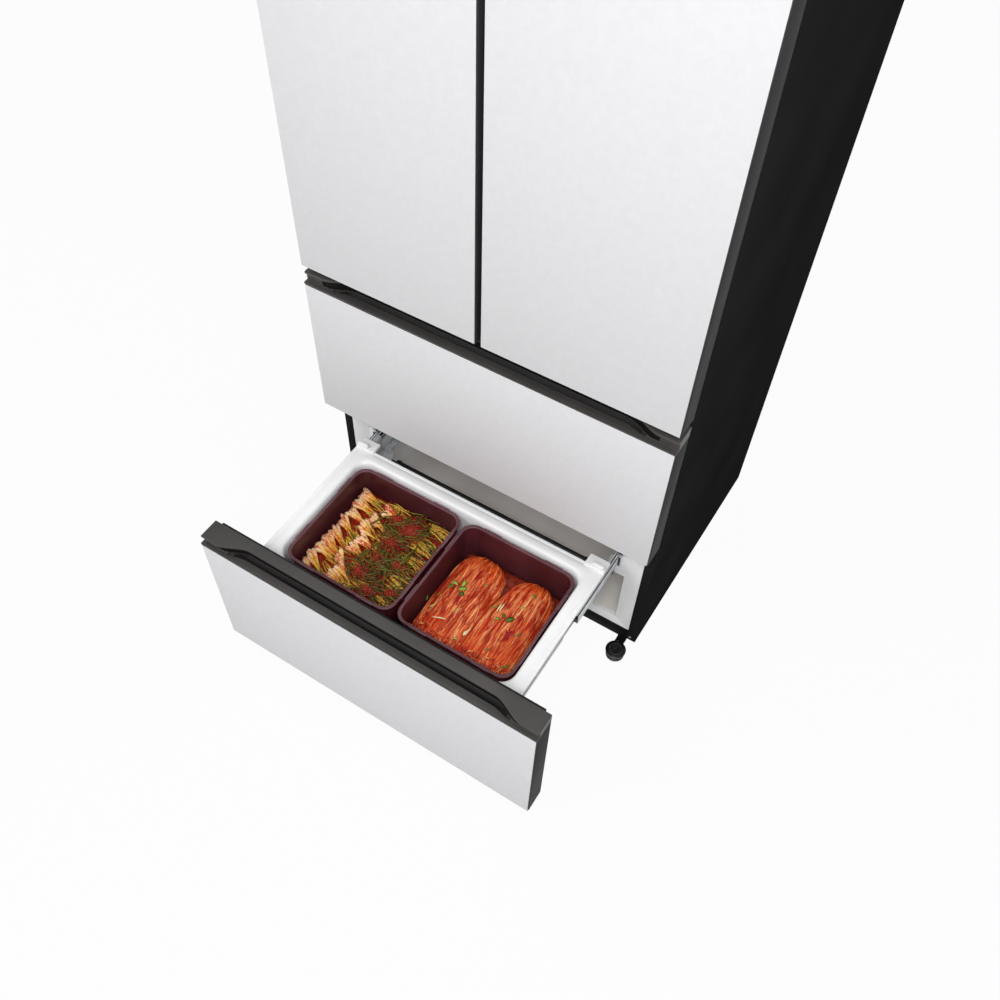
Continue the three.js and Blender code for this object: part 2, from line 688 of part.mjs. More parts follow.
const MACHINE_Y = (MACHINE_FRONT + CASE_BACK) / 2;
const COMPRESSOR = { inset: 187, radius: 72, height: 142, plate: 3, plateX: 160, plateY: 120 };
const DOME = [[0, 0], [0.8, 0], [1, 0.1], [1, 0.66], [0.86, 0.88], [0.45, 1], [0, 1]];
const FAN = {
  radius: 55, hub: 17, width: 22, bore: 4, blades: 5, bladeThick: 2, pitchDeg: 35, z: 108, root: 4,
};
const CONDENSER = {
  inset: 87, length: 234, depth: 116, height: 128, fin: 1.2, pitch: 24, core: 37, coreInset: 10,
};
const SHROUD = { steel: 3, rise: 8 };
const MOTOR = { length: 17, gap: 1 };

function compressor() {
  const { radius, height, plate } = COMPRESSOR;
  const x = HALF - COMPRESSOR.inset;
  const bottom = BASE_TOP + FIT;
  const dome = new THREE.LatheGeometry(DOME.map(([r, z]) => new THREE.Vector2(r * radius, z * height)), 20);
  dome.rotateX(Math.PI / 2);
  dome.translate(x, MACHINE_Y, bottom + plate / 2);
  const foot = block(
    x - COMPRESSOR.plateX / 2, x + COMPRESSOR.plateX / 2,
    MACHINE_Y - COMPRESSOR.plateY / 2, MACHINE_Y + COMPRESSOR.plateY / 2, bottom, bottom + plate,
  );
  return solid(dome).add(foot);
}

const CONDENSER_LEFT = -HALF + CONDENSER.inset;
const CONDENSER_RIGHT = CONDENSER_LEFT + CONDENSER.length;
const SHROUD_BACK = CONDENSER_RIGHT + SHROUD.steel;
const FAN_X = SHROUD_BACK + MOTOR.length + MOTOR.gap + FAN.width / 2;

function condenser() {
  const { depth, height, fin, pitch, core, coreInset } = CONDENSER;
  const x0 = CONDENSER_LEFT;
  const x1 = CONDENSER_RIGHT;
  const bottom = BASE_TOP + FIT;
  const y0 = MACHINE_Y - depth / 2;
  const y1 = MACHINE_Y + depth / 2;
  const top = bottom + height;
  let body = block(x0, x1, MACHINE_Y - core, MACHINE_Y + core, bottom + coreInset, top - coreInset);
  for (let x = x0 + pitch; x < x1 - pitch; x += pitch) {
    body = body.add(block(x, x + fin, y0, y1, bottom, top));
  }
  const shroud = block(x1 - 1, SHROUD_BACK, y0, y1, bottom, FAN.z + FAN.radius + SHROUD.rise);
  const motor = rod('x', FAN.hub, [SHROUD_BACK + (MOTOR.length - 1) / 2, MACHINE_Y, FAN.z], MOTOR.length + 1);
  const stub = rod('x', FAN.bore, [FAN_X - MOTOR.gap, MACHINE_Y, FAN.z], FAN.width + 2 * MOTOR.gap + 2);
  return union([body, shroud, motor, stub]);
}

function condenserFan() {
  let fan = rod('x', FAN.hub, [0, 0, 0], FAN.width);
  for (let i = 0; i < FAN.blades; i += 1) {
    const length = FAN.radius - FAN.hub + FAN.root;
    const blade = new THREE.BoxGeometry(0.8 * FAN.width, length, FAN.bladeThick);
    blade.rotateY(THREE.MathUtils.degToRad(FAN.pitchDeg));
    blade.translate(0, FAN.radius - length / 2, 0);
    blade.rotateX((2 * Math.PI * i) / FAN.blades);
    fan = fan.add(solid(blade));
  }
  const bore = rod('x', FAN.bore + SHAFT_RUN, [0, 0, 0], FAN.width + 2 * OVERCUT);
  const centred = geometryOf(fan.subtract(bore));
  centred.translate(FAN_X, MACHINE_Y, FAN.z);
  return centred;
}

// ---------------------------------------------------------------- feet and rollers

const FOOT_SLOT = { reach: 6, half: 1, depth: 1.5 };
const FOOT_EDGE = 1.5;

function foot() {
  const pad = FOOT_RADIUS - 2;
  const profile = [
    [0, 0], [pad, 0], [pad, 0.55 * ARM_BOTTOM], [FOOT_NECK + 2, ARM_BOTTOM - FIT],
    [FOOT_NECK, ARM_BOTTOM - FIT], [FOOT_NECK, ARM_TOP + FIT], [FOOT_RADIUS, ARM_TOP + FIT],
    [FOOT_RADIUS, FOOT_TOP - FOOT_EDGE], [FOOT_RADIUS - 2 * FOOT_EDGE, FOOT_TOP], [0, FOOT_TOP],
  ].map(([r, z]) => new THREE.Vector2(r, z));
  const turned = new THREE.LatheGeometry(profile, 16);
  turned.rotateX(Math.PI / 2);
  turned.translate(FOOT_X, FOOT_Y, 0);
  const { reach, half, depth } = FOOT_SLOT;
  const slots = [[reach, half], [half, reach]].map(([dx, dy]) => block(
    FOOT_X - dx, FOOT_X + dx, FOOT_Y - dy, FOOT_Y + dy, FOOT_TOP - depth, FOOT_TOP + OVERCUT,
  ));
  return solid(turned).subtract(union(slots));
}

function roller() {
  const centre = [ROLLER_X, ROLLER_Y, ROLLER_RADIUS];
  const wheel = rod('x', ROLLER_RADIUS, centre, ROLLER_WIDTH);
  return wheel.subtract(rod('x', AXLE_RADIUS + SHAFT_RUN, centre, ROLLER_WIDTH + 2 * OVERCUT, 16));
}

// ---------------------------------------------------------------- doors

function frontPanel(left, right, bottom, top) {
  return block(
    left + PANEL_INSET, right - PANEL_INSET, 0, PANEL_THICK, bottom + PANEL_INSET, top - PANEL_INSET,
  );
}

function gasketRing(left, right, bottom, top) {
  const front = DOOR_DEPTH + FIT;
  const back = CASE_FRONT - FIT;
  const ring = block(left, right, front, back, bottom, top);
  return ring.subtract(block(
    left + GASKET_WIDTH, right - GASKET_WIDTH, front - OVERCUT, back + OVERCUT,
    bottom + GASKET_WIDTH, top - GASKET_WIDTH,
  ));
}

const DOOR_LEFT = DOOR_GAP / 2;
const DYKE = { hingeInset: 66, freeInset: 44, endInset: 52, depth: 18 };
const DOOR_GRIP = { left: 40, right: 330, front: 14, back: 38, depth: 24 };

function doorBody() {
  const slab = block(DOOR_LEFT, HALF, PANEL_THICK + FIT, DOOR_DEPTH, DOOR_BOTTOM, DOOR_TOP);
  const dyke = block(
    DOOR_LEFT + DYKE.freeInset, HALF - DYKE.hingeInset, DOOR_DEPTH - OVERCUT, DOOR_DEPTH + DYKE.depth,
    DOOR_BOTTOM + DYKE.endInset, DOOR_TOP - DYKE.endInset,
  );
  const grip = block(
    DOOR_GRIP.left, DOOR_GRIP.right, DOOR_GRIP.front, DOOR_GRIP.back,
    DOOR_BOTTOM - OVERCUT, DOOR_BOTTOM + DOOR_GRIP.depth,
  );
  let body = slab.add(dyke).subtract(grip);
  for (const end of [DOOR_BOTTOM, DOOR_TOP]) {
    body = body.subtract(rod('z', PIN_RADIUS + PIN_RUN, [HINGE_X, HINGE_Y, end], 2 * (PIN_LENGTH + 1)));
  }
  return body;
}

function doorGasket() {
  return gasketRing(
    DOOR_LEFT + DOOR_GASKET_INSET, HALF - HINGE_SIDE_INSET,
    DOOR_BOTTOM + DOOR_GASKET_INSET, DOOR_TOP - 1.5 * DOOR_GASKET_INSET,
  );
}

// ---------------------------------------------------------------- drawers

function ease(t) {
  const clamped = Math.min(Math.max(t, 0), 1);
  return clamped * clamped * (3 - 2 * clamped);
}

function lipFront(x) {
  const run = (LIP_CURVE.outer - Math.abs(x)) / (LIP_CURVE.outer - LIP_CURVE.inner);
  return LIP_SETBACK + LIP_SWEEP * ease(run);
}

function neckFront(x) {
  return Math.max(NECK_SETBACK, lipFront(x) + NECK_UNDERCUT);
}

function ledgeBack(x) {
  const t = (LEDGE_CURVE.outer - Math.abs(x)) / (LEDGE_CURVE.outer - LEDGE_CURVE.inner);
  return LEDGE_EDGE + LEDGE_BULGE * ease(t);
}

// stations along x where an edge that is straight in the middle curves at its ends
function stations(outer, inner, end) {
  const right = [];
  for (let i = 0; i <= CURVE_STEPS; i += 1) {
    right.push(inner + (outer - inner) * (i / CURVE_STEPS));
  }
  const rightSide = right.filter((x) => x < end - 1).concat([end]);
  return rightSide.map((x) => -x).reverse().concat(rightSide);
}

function gripCap(panelTop, top) {
  const bottom = panelTop + FIT;
  const baseTop = panelTop + CAP_BASE;
  const lipBottom = top - CAP_LIP;
  const back = DOOR_DEPTH - FIT;
  const outline = (edge) => stations(LIP_CURVE.outer, LIP_CURVE.inner, HALF)
    .map((x) => [x, edge(x)]).concat([[HALF, back], [-HALF, back]]);
  const slotBack = stations(LIP_CURVE.outer, LIP_CURVE.inner, SLOT_HALF).map((x) => [x, neckFront(x)]);
  const slotFront = stations(LEDGE_CURVE.outer, LEDGE_CURVE.inner, SLOT_HALF).map((x) => [x, ledgeBack(x)]);
  const slot = raised(slotFront.concat(slotBack.reverse()), bottom - OVERCUT, baseTop + OVERCUT);
  const base = block(-HALF, HALF, FIT, back, bottom, baseTop).subtract(slot);
  const neck = raised(outline(neckFront), baseTop - 1, lipBottom + 1);
  const lip = raised(outline(lipFront), lipBottom, top);
  return union([base, neck, lip]);
}

function drawerBody(front) {
  const slab = block(-HALF, HALF, PANEL_THICK + FIT, DOOR_DEPTH, front.bottom, front.panelTop);
  const pocket = block(
    -POCKET_HALF, POCKET_HALF, POCKET_FRONT, POCKET_BACK,
    front.panelTop - POCKET_DEPTH, front.panelTop + OVERCUT,
  );
  return slab.subtract(pocket);
}

function drawerGasket(front) {
  return gasketRing(
    -HALF + GASKET_INSET, HALF - GASKET_INSET,
    front.bottom + DRAWER_GASKET_INSET, front.capTop - DRAWER_GASKET_INSET,
  );
}

function bin(rimTop) {
  const rimBottom = rimTop - RIM_THICK;
  const floor = rimTop - BIN_DEPTH;
  const ring = (grow, z, draft, radius) => roundedRing(
    -BIN_HALF - grow + draft, BIN_HALF + grow - draft,
    BIN_FRONT - grow + draft, BIN_BACK + grow - draft, radius, z,
  );
  const rimRing = (z) => roundedRing(-RIM_HALF, RIM_HALF, BIN_RIM_FRONT, BIN_RIM_BACK, RIM_CORNER, z, 2);
  const tub = loft([
    ring(BIN_WALL, floor - BIN_WALL, BIN_DRAFT, BIN_CORNER),
    ring(BIN_WALL, rimTop, 0, BIN_CORNER + BIN_WALL),
  ]);
  const hollow = loft([
    ring(0, floor, BIN_DRAFT, BIN_CORNER - BIN_WALL),
    ring(0, rimTop + OVERCUT, 0, BIN_CORNER),
  ]);
  const pieces = [tub, loft([rimRing(rimBottom), rimRing(rimTop)])];
  const skirtOuter = INNER_WEB - FIT;
  for (const side of [-1, 1]) {
    pieces.push(block(
      side * (skirtOuter - SKIRT), side * skirtOuter, BIN_RIM_FRONT + SKIRT_SETBACK, BIN_RIM_BACK,
      rimBottom - SKIRT_DEPTH, rimBottom + RIM_THICK / 2,
    ));
    pieces.push(block(
      side * (RIM_HALF - TAB_WIDTH), side * RIM_HALF, BIN_RIM_BACK - TAB_LAP, BIN_RIM_BACK + TAB_REACH,
      rimBottom, rimTop + TAB_RISE,
    ));
    pieces.push(block(
      side * (RIM_HALF - TAB_BAR.inner), side * (RIM_HALF - TAB_BAR.outer),
      BIN_RIM_BACK - TAB_BAR.front, BIN_RIM_BACK + TAB_BAR.back, rimTop, rimTop + TAB_BAR.rise,
    ));
  }
  return union(pieces).subtract(hollow);
}

// ---------------------------------------------------------------- slides and racks

// a channel lying along y: its web at x, its flanges reaching by reach towards toward
function channel(x, toward, reach, y0, y1, z0, z1) {
  const web = block(x, x + toward * SLIDE_STEEL, y0, y1, z0, z1);
  const flanges = [z0, z1 - SLIDE_STEEL].map((z) => block(
    x, x + toward * reach, y0, y1, z, z + SLIDE_STEEL,
  ));
  return union([web, ...flanges]);
}

function slideLevels(rimTop) {
  const top = rimTop - SLIDE_DROP;
  const step = SLIDE_STEEL + SLIDE_GAP;
  return {
    outer: [top - SLIDE_HEIGHT, top],
    middle: [top - SLIDE_HEIGHT + step, top - step],
    inner: [top - SLIDE_HEIGHT + 2 * step, top - 2 * step],
  };
}

const RACK_INNER = GEAR_INNER - 1;
const RACK_WALL = GEAR_INNER + GEAR_WIDTH + 3;
const RACK_OUTER = RACK_WALL + SLIDE_STEEL;

// the member fixed to the chamber, with the rack hanging under it; the shaft rests over a tooth
function outerRail(rimTop, shaftY) {
  const [low, high] = slideLevels(rimTop).outer;
  const rail = channel(OUTER_WEB, -1, SLIDE_REACH, RAIL_FRONT, RAIL_BACK, low, high);
  const pitchLine = rimTop - SHAFT_DROP - PINION_RADIUS;
  const rackBottom = pitchLine - TOOTH_ROOT - RACK_BODY;
  const link = block(RACK_WALL, OUTER_WEB, RAIL_FRONT, RAIL_BACK, low, low + SLIDE_STEEL);
  const hanger = block(RACK_WALL, RACK_OUTER, RAIL_FRONT, RAIL_BACK, rackBottom, low + SLIDE_STEEL);
  const ledge = block(RACK_INNER, RACK_OUTER, RAIL_FRONT, RAIL_BACK, rackBottom, rackBottom + SLIDE_STEEL);
  return union([rail, link, hanger, ledge, rack(pitchLine, shaftY, rackBottom)]);
}

function rack(pitchLine, shaftY, rackBottom) {
  const pitch = Math.PI * GEAR_MODULE;
  const half = TOOTH_SHARE * pitch / 2;
  const root = pitchLine - TOOTH_ROOT;
  const tip = pitchLine + TOOTH_TIP;
  const rootHalf = half + RACK_SLOPE * TOOTH_ROOT;
  const tipHalf = half - RACK_SLOPE * TOOTH_TIP;
  const first = Math.ceil((RACK_FRONT + rootHalf - shaftY) / pitch);
  const profile = [[RACK_FRONT, rackBottom], [RACK_FRONT, root]];
  for (let y = shaftY + first * pitch; y < RAIL_BACK - pitch / 2; y += pitch) {
    profile.push([y - rootHalf, root], [y - tipHalf, tip], [y + tipHalf, tip], [y + rootHalf, root]);
  }
  profile.push([RAIL_BACK, root], [RAIL_BACK, rackBottom]);
  return drawnAlongX(profile, RACK_INNER, GEAR_INNER + GEAR_WIDTH + 1);
}

function middleMember(rimTop) {
  const [low, high] = slideLevels(rimTop).middle;
  return channel(MIDDLE_WEB, -1, SLIDE_REACH, MEMBER_FRONT, RAIL_BACK - MEMBER_SHORT, low, high);
}

// the member carried by the drawer, with the bearing bracket of the pinion shaft behind it
function runner(rimTop) {
  const [low, high] = slideLevels(rimTop).inner;
  const outside = INNER_WEB + SLIDE_STEEL;
  const bodyBack = DOOR_DEPTH + FIT;
  const shaftZ = rimTop - SHAFT_DROP;
  const front = BIN_RIM_BACK + TAB_REACH - 5;
  const shelfTop = shaftZ + BRACKET.rise;
  const shelfBottom = shelfTop - BRACKET.steel;
  const shelfInner = outside - BRACKET.inner;
  const rail = channel(INNER_WEB, 1, SLIDE_REACH - 2, bodyBack, RUNNER_BACK, low, high);
  const plate = block(INNER_WEB, outside, front, RUNNER_BACK, shelfBottom, low + SLIDE_STEEL);
  const shelf = raised([
    [outside, front + BRACKET.front], [outside, RUNNER_BACK], [outside - BRACKET.finX, RUNNER_BACK],
    [outside - BRACKET.finX - 1, RUNNER_BACK + BRACKET.finBack], [shelfInner, RUNNER_BACK - BRACKET.finFoot],
    [shelfInner, front + BRACKET.front],
  ].reverse(), shelfBottom, shelfTop);
  const earX = RACK_INNER - 1;
  const ear = block(
    earX - EAR_STEEL, earX, SHAFT_Y - EAR_FRONT, RUNNER_BACK, shaftZ - PINION_RADIUS, shelfTop,
  );
  const lug = block(
    INNER_WEB - LUG.inner, outside, bodyBack, bodyBack + BRACKET.steel, low - LUG.drop, high,
  );
  const bore = rod('x', SHAFT_RADIUS + SHAFT_RUN, [earX, SHAFT_Y, shaftZ], 4 * EAR_STEEL, 16);
  return union([rail, plate, shelf, ear.subtract(bore), lug]);
}

const PINION_ROOT_SHARE = 0.27;   // half a tooth at its root, as a share of the tooth spacing
const PINION_TIP_SHARE = 0.09;

function pinion(centreX, shaftZ) {
  const tip = PINION_RADIUS + TOOTH_TIP;
  const root = PINION_RADIUS - TOOTH_ROOT;
  const spacing = (2 * Math.PI) / GEAR_TEETH;
  const rootHalf = spacing * PINION_ROOT_SHARE;
  const tipHalf = spacing * PINION_TIP_SHARE;
  const profile = [];
  for (let i = 0; i < GEAR_TEETH; i += 1) {
    const middle = -Math.PI / 2 + (i + 0.5) * spacing;
    for (const [radius, offset] of [[root, -rootHalf], [tip, -tipHalf], [tip, tipHalf], [root, rootHalf]]) {
      profile.push([
        SHAFT_Y + radius * Math.cos(middle + offset), shaftZ + radius * Math.sin(middle + offset),
      ]);
    }
  }
  return drawnAlongX(profile, centreX - GEAR_WIDTH / 2 + 1, centreX + GEAR_WIDTH / 2 - 1);
}

function syncShaft(rimTop) {
  const shaftZ = rimTop - SHAFT_DROP;
  const centreX = GEAR_INNER + GEAR_WIDTH / 2;
  return union([
    rod('x', SHAFT_RADIUS, [0, SHAFT_Y, shaftZ], 2 * (GEAR_INNER + GEAR_WIDTH), 16),
    pinion(centreX, shaftZ),
    pinion(-centreX, shaftZ),
  ]);
}

// ---------------------------------------------------------------- containers and food

const BOX_TOP = LOWER_FRONT.panelTop - RIM_DROP - BOX_RIM_DROP;
const BOX_BOTTOM = LOWER_FRONT.panelTop - RIM_DROP - BIN_DEPTH + FIT;

// the container's wall on the right, inset from its rim, with the draft still left at a level
function boxRing(inset, z, radius = BOX_CORNER) {
  const draft = BOX_DRAFT * (BOX_TOP - z) / (BOX_TOP - BOX_BOTTOM);
  const edge = inset + draft;
  return roundedRing(
    BOX_GAP / 2 + edge, BOX_GAP / 2 + BOX_WIDTH - edge, BOX_FRONT + edge, BOX_BACK - edge, radius, z,
  );
}

function container() {
  const wall = loft([boxRing(BOX_RIM, BOX_BOTTOM), boxRing(BOX_RIM, BOX_TOP)]);
  const rim = loft([boxRing(0, BOX_TOP - BOX_RIM), boxRing(0, BOX_TOP)]);
  const hollow = loft([
    boxRing(BOX_RIM + BOX_WALL, BOX_BOTTOM + BOX_WALL, BOX_CORNER - BOX_WALL),
    boxRing(BOX_RIM + BOX_WALL, BOX_TOP + OVERCUT, BOX_CORNER - BOX_WALL),
  ]);
  return wall.add(rim).subtract(hollow);
}

const FOOD_BOTTOM = BOX_BOTTOM + BOX_WALL + FIT;
const FOOD_INSET = BOX_RIM + BOX_WALL + FOOD_GAP;

// food that fills the container up to a level, rounded off at its edge
function foodBed(level) {
  return loft([
    boxRing(FOOD_INSET, FOOD_BOTTOM),
    boxRing(FOOD_INSET + BED_EDGE.low, level - BED_EDGE.height),
    boxRing(FOOD_INSET + BED_EDGE.top, level),
  ]);
}

function onionKimchi() {
  const top = BOX_TOP - ONION_DROP;
  return foodBed(top - ONION_MOUND.bed).add(loft([
    boxRing(FOOD_INSET + ONION_MOUND.low, top - ONION_MOUND.depth),
    boxRing(FOOD_INSET + ONION_MOUND.shoulder, top - ONION_MOUND.lip),
    boxRing(FOOD_INSET + ONION_MOUND.top, top),
  ]));
}

// two half heads side by side on a bed of sauce, the left one reaching further back
function cabbageKimchi() {
  const top = BOX_TOP - CABBAGE_DROP;
  const middle = BOX_GAP / 2 + BOX_WIDTH / 2;
  const half = (BOX_WIDTH / 2 - HEAD.wall - HEAD.gap) / 2;
  const heads = [-1, 1].map((side) => loft(HEAD_LAYERS.map(([inset, rise]) => {
    const centre = middle + side * (half + HEAD.gap);
    const end = HEAD.slope * inset;
    return roundedRing(
      centre - half + inset, centre + half - inset,
      BOX_FRONT + HEAD.front + end, BOX_BACK - HEAD.back - side * HEAD.stagger - end,
      half - HEAD.corner - inset, top + rise,
    );
  })));
  return union([foodBed(top - CABBAGE_BED), ...heads]);
}

// ---------------------------------------------------------------- hinges

function topHinge() {
  const low = CASE_TOP + FIT;
  const arm = block(
    HINGE_X - HINGE_ARM, HINGE_X + HINGE_ARM, HINGE_Y - HINGE_NOSE, CASE_FRONT + TOP_ARM_BACK,
    low, low + HINGE_STEEL,
  );
  const pinTop = low + HINGE_STEEL / 2;
  const pinBottom = DOOR_TOP - PIN_LENGTH + PIN_SHORT;
  return arm.add(rod('z', PIN_RADIUS, [HINGE_X, HINGE_Y, (pinTop + pinBottom) / 2], pinTop - pinBottom));
}

function middleHinge() {
  const low = MIDDLE_FRONT.capTop + ARM_RISE;
  const back = CASE_FRONT - FIT;
  const left = HINGE_X - MIDDLE_ARM;
  const right = HINGE_X + MIDDLE_ARM;
  const arm = block(left, right, HINGE_Y - HINGE_NOSE, back, low, low + HINGE_STEEL);
  const tab = block(
    left, right, back - HINGE_STEEL, back, MIDDLE_FRONT.capTop + TAB_CLEAR, DOOR_BOTTOM - TAB_CLEAR,
  );
  const pinTop = DOOR_BOTTOM + PIN_LENGTH - PIN_SHORT;
  const pin = rod('z', PIN_RADIUS, [HINGE_X, HINGE_Y, (low + pinTop) / 2], pinTop - low);
  return union([arm, tab, pin]);
}

function topCover() {
  const half = HALF - COVER_INSET;
  const front = CASE_FRONT + COVER_SETBACK;
  const back = front + COVER_DEPTH;
  const low = CASE_TOP + FIT;
  const high = CASE_TOP + COVER_HEIGHT;
  const shell = block(-half, half, front, back, low, high);
  let cover = shell.subtract(block(
    -half + COVER_WALL, half - COVER_WALL, front + COVER_WALL, back - COVER_WALL,
    low - OVERCUT, high - COVER_WALL,
  ));
  const slotHalf = HINGE_ARM + FIT;
  for (const side of [-1, 1]) {
    cover = cover.subtract(block(
      side * (HINGE_X - slotHalf), side * (HINGE_X + slotHalf),
      front - OVERCUT, front + COVER_WALL + OVERCUT, low - OVERCUT, low + HINGE_STEEL + FIT,
    ));
  }
  return cover;
}

// ---------------------------------------------------------------- assembly

addPiece('outer_case', outerCase(), CHARCOAL_STEEL);
addPiece('rear_panel', rearPanel(), GALVANISED);
addPiece('machine_cover', machineCover(), GALVANISED);
addPiece('base_pan', basePan(), GALVANISED);
addPiece('front_sill', frontSill(), BLACK_STEEL);
addPiece('foam_insulation', foamInsulation(), FOAM);
addPiece('upper_liner', upperLiner(), LINER_WHITE);
addPiece('drawer_liner', drawerLiner(), LINER_WHITE);
addPiece('mullion_tee', mullionTee(), BLACK_STEEL);
addPiece('lower_crossbar', lowerCrossbar(), BLACK_STEEL);
addPiece('lower_floor_plate', floorPlate(), FLOOR_METAL);
addPair('upper_shelf', shelf(), SHELF_GLASS);

addPiece('compressor', compressor(), COMPRESSOR_BLACK);
addPiece('condenser', condenser(), GALVANISED);
addPiece('condenser_fan', condenserFan(), FRAME_GREY);

addPair('foot', foot(), FOOT_BLACK);
addPair('roller', roller(), ROLLER_GREY);

addPiece('top_cover', topCover(), FRAME_GREY);
addPair('top_hinge', topHinge(), BLACK_STEEL);
addPair('middle_hinge', middleHinge(), BLACK_STEEL);

addPair('door_panel', frontPanel(DOOR_LEFT, HALF, DOOR_BOTTOM, DOOR_TOP), PANEL_WHITE);
addPair('door_body', doorBody(), FRAME_GREY);
addPair('door_gasket', doorGasket(), GASKET_BLACK);

function addDrawer(name, front, opening, moving, halfway) {
  const rimTop = front.panelTop - RIM_DROP;
  addPiece(`${name}_panel`, frontPanel(-HALF, HALF, front.bottom, front.panelTop), PANEL_WHITE, moving);
  addPiece(`${name}_body`, drawerBody(front), FRAME_GREY, moving);
  addPiece(`${name}_grip_cap`, gripCap(front.panelTop, front.capTop), CAP_GREY, moving);
  addPiece(`${name}_gasket`, drawerGasket(front), GASKET_BLACK, moving);
  addPiece(`${name}_bin`, bin(rimTop), BIN_WHITE, moving);
  addPair(`${name}_runner`, runner(rimTop), RAIL_STEEL, moving);
  addPiece(`${name}_sync_shaft`, syncShaft(rimTop), SHAFT_BLACK, moving);
  addPair(`${name}_slide_member`, middleMember(rimTop), RAIL_STEEL, halfway);
  addPair(`${name}_outer_rail`, outerRail(rimTop, SHAFT_Y - opening), RAIL_STEEL);
}

addDrawer('middle_drawer', MIDDLE_FRONT, 0, fridge, fridge);
addDrawer('lower_drawer', LOWER_FRONT, DRAWER_OPEN, openDrawer, halfOpen);

addPair('container', container(), BURGUNDY, openDrawer);
addPiece('cabbage_kimchi', cabbageKimchi(), CABBAGE_RED, openDrawer);
addPiece('green_onion_kimchi', mirroredX(geometryOf(onionKimchi())), ONION_RED, openDrawer);

export default fridge;
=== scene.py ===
"""Looks of the kimchi refrigerator: its pieces, their finishes, the studio and the camera."""

import json
import math
import random

import bmesh
import bpy
from mathutils import Matrix, Vector, noise


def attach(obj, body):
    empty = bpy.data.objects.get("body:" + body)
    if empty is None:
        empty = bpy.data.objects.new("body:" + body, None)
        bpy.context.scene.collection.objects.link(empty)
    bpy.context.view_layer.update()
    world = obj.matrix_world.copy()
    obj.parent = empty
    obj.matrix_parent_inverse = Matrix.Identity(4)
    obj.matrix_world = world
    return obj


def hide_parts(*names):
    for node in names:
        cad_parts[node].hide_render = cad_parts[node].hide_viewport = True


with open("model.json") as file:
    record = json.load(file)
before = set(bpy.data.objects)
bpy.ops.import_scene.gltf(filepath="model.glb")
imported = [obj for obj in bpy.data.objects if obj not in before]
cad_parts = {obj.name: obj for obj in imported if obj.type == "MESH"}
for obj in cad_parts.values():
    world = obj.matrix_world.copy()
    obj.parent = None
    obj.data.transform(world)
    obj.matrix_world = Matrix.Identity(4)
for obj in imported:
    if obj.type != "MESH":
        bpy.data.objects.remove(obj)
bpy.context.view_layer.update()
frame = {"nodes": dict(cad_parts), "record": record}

# Shapes are drawn in millimetres from the closed doors' front plane (y = 0) and the floor,
# as in the part's source, and settled into the row frame, in metres, when they are finished.
MM = 0.001
FRONT_PLANE = -0.1149
PULLED_OUT = -438.2

# The two drawer fronts, and how far each drawer is out as it rests.
LOWER = {"panel_top": 394.9, "cap_top": 419.4, "bottom": 27.4, "out": PULLED_OUT}
MIDDLE = {"panel_top": 792.3, "cap_top": 819.8, "bottom": 435.9, "out": 0.0}
SIDES = (("right", 1), ("left", -1))
HALF_WIDTH = 417.0
FRAME_BACK = 54.7  # back of the grey frames behind the front panels

# From the top of a drawer's panel down to the rim of its bin, and from that rim to the shaft.
RIM_DROP = 49.9
SHAFT_DROP = 86
SHAFT_Y = 496

# The food containers: walls nearest to and farthest from the middle, front, back, height, lean.
BOX_TOP = LOWER["panel_top"] - RIM_DROP - 10
BOX_NEAR, BOX_FAR = 5, 290
BOX_FRONT, BOX_BACK = 103, 400
BOX_MIDDLE = (BOX_NEAR + BOX_FAR) / 2
BOX_HEIGHT = 239.7
BOX_LEAN = 10
BOX_WALL = 6.5


# ------------------------------------------------------------------ modelling helpers

def deselect():
    """Leaves nothing selected; the CAD nodes come in selected."""
    if bpy.context.object and bpy.context.object.mode != "OBJECT":
        bpy.ops.object.mode_set(mode="OBJECT")
    bpy.ops.object.select_all(action="DESELECT")


def pick(obj):
    deselect()
    obj.select_set(True)
    bpy.context.view_layer.objects.active = obj


def mesh_object(name, points, faces):
    mesh = bpy.data.meshes.new(name)
    mesh.from_pydata(points, [], faces)
    mesh.update()
    obj = bpy.data.objects.new(name, mesh)
    bpy.context.scene.collection.objects.link(obj)
    return obj


def outward(obj, merge=0.0):
    """Faces turned outwards, after points nearer than merge are made one."""
    shape = bmesh.new()
    shape.from_mesh(obj.data)
    if merge:
        bmesh.ops.remove_doubles(shape, verts=shape.verts, dist=merge)
    bmesh.ops.recalc_face_normals(shape, faces=shape.faces)
    shape.to_mesh(obj.data)
    shape.free()


def bevelled(obj, width, segments=2, angle=30):
    """Rounds the edges that turn by more than an angle, then shades them smooth."""
    pick(obj)
    edge = obj.modifiers.new("edge", "BEVEL")
    edge.width = width
    edge.segments = segments
    edge.limit_method = "ANGLE"
    edge.angle_limit = math.radians(angle)
    bpy.ops.object.modifier_apply(modifier=edge.name)
    smoothed(obj)


def smoothed(obj, angle=35):
    pick(obj)
    bpy.ops.object.shade_smooth_by_angle(angle=math.radians(angle))


def joined(name, objects):
    """Several shapes as one piece."""
    deselect()
    for obj in objects:
        obj.select_set(True)
    bpy.context.view_layer.objects.active = objects[0]
    if len(objects) > 1:
        bpy.ops.object.join()
    whole = bpy.context.view_layer.objects.active
    whole.name = name
    return whole


def settled(obj, body, material, out, nodes=()):
    """Turns a shape drawn in millimetres into a piece that rides on its body, out by so much."""
    obj.data.transform(Matrix.Translation((0, FRONT_PLANE + out * MM, 0)) @ Matrix.Scale(MM, 4))
    obj.data.update()
    obj.data.materials.clear()
    obj.data.materials.append(material)
    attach(obj, body)
    if nodes:
        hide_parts(*nodes)
    return obj


# Steps around a quarter turn of a rounded corner.
CORNER_STEPS = 10


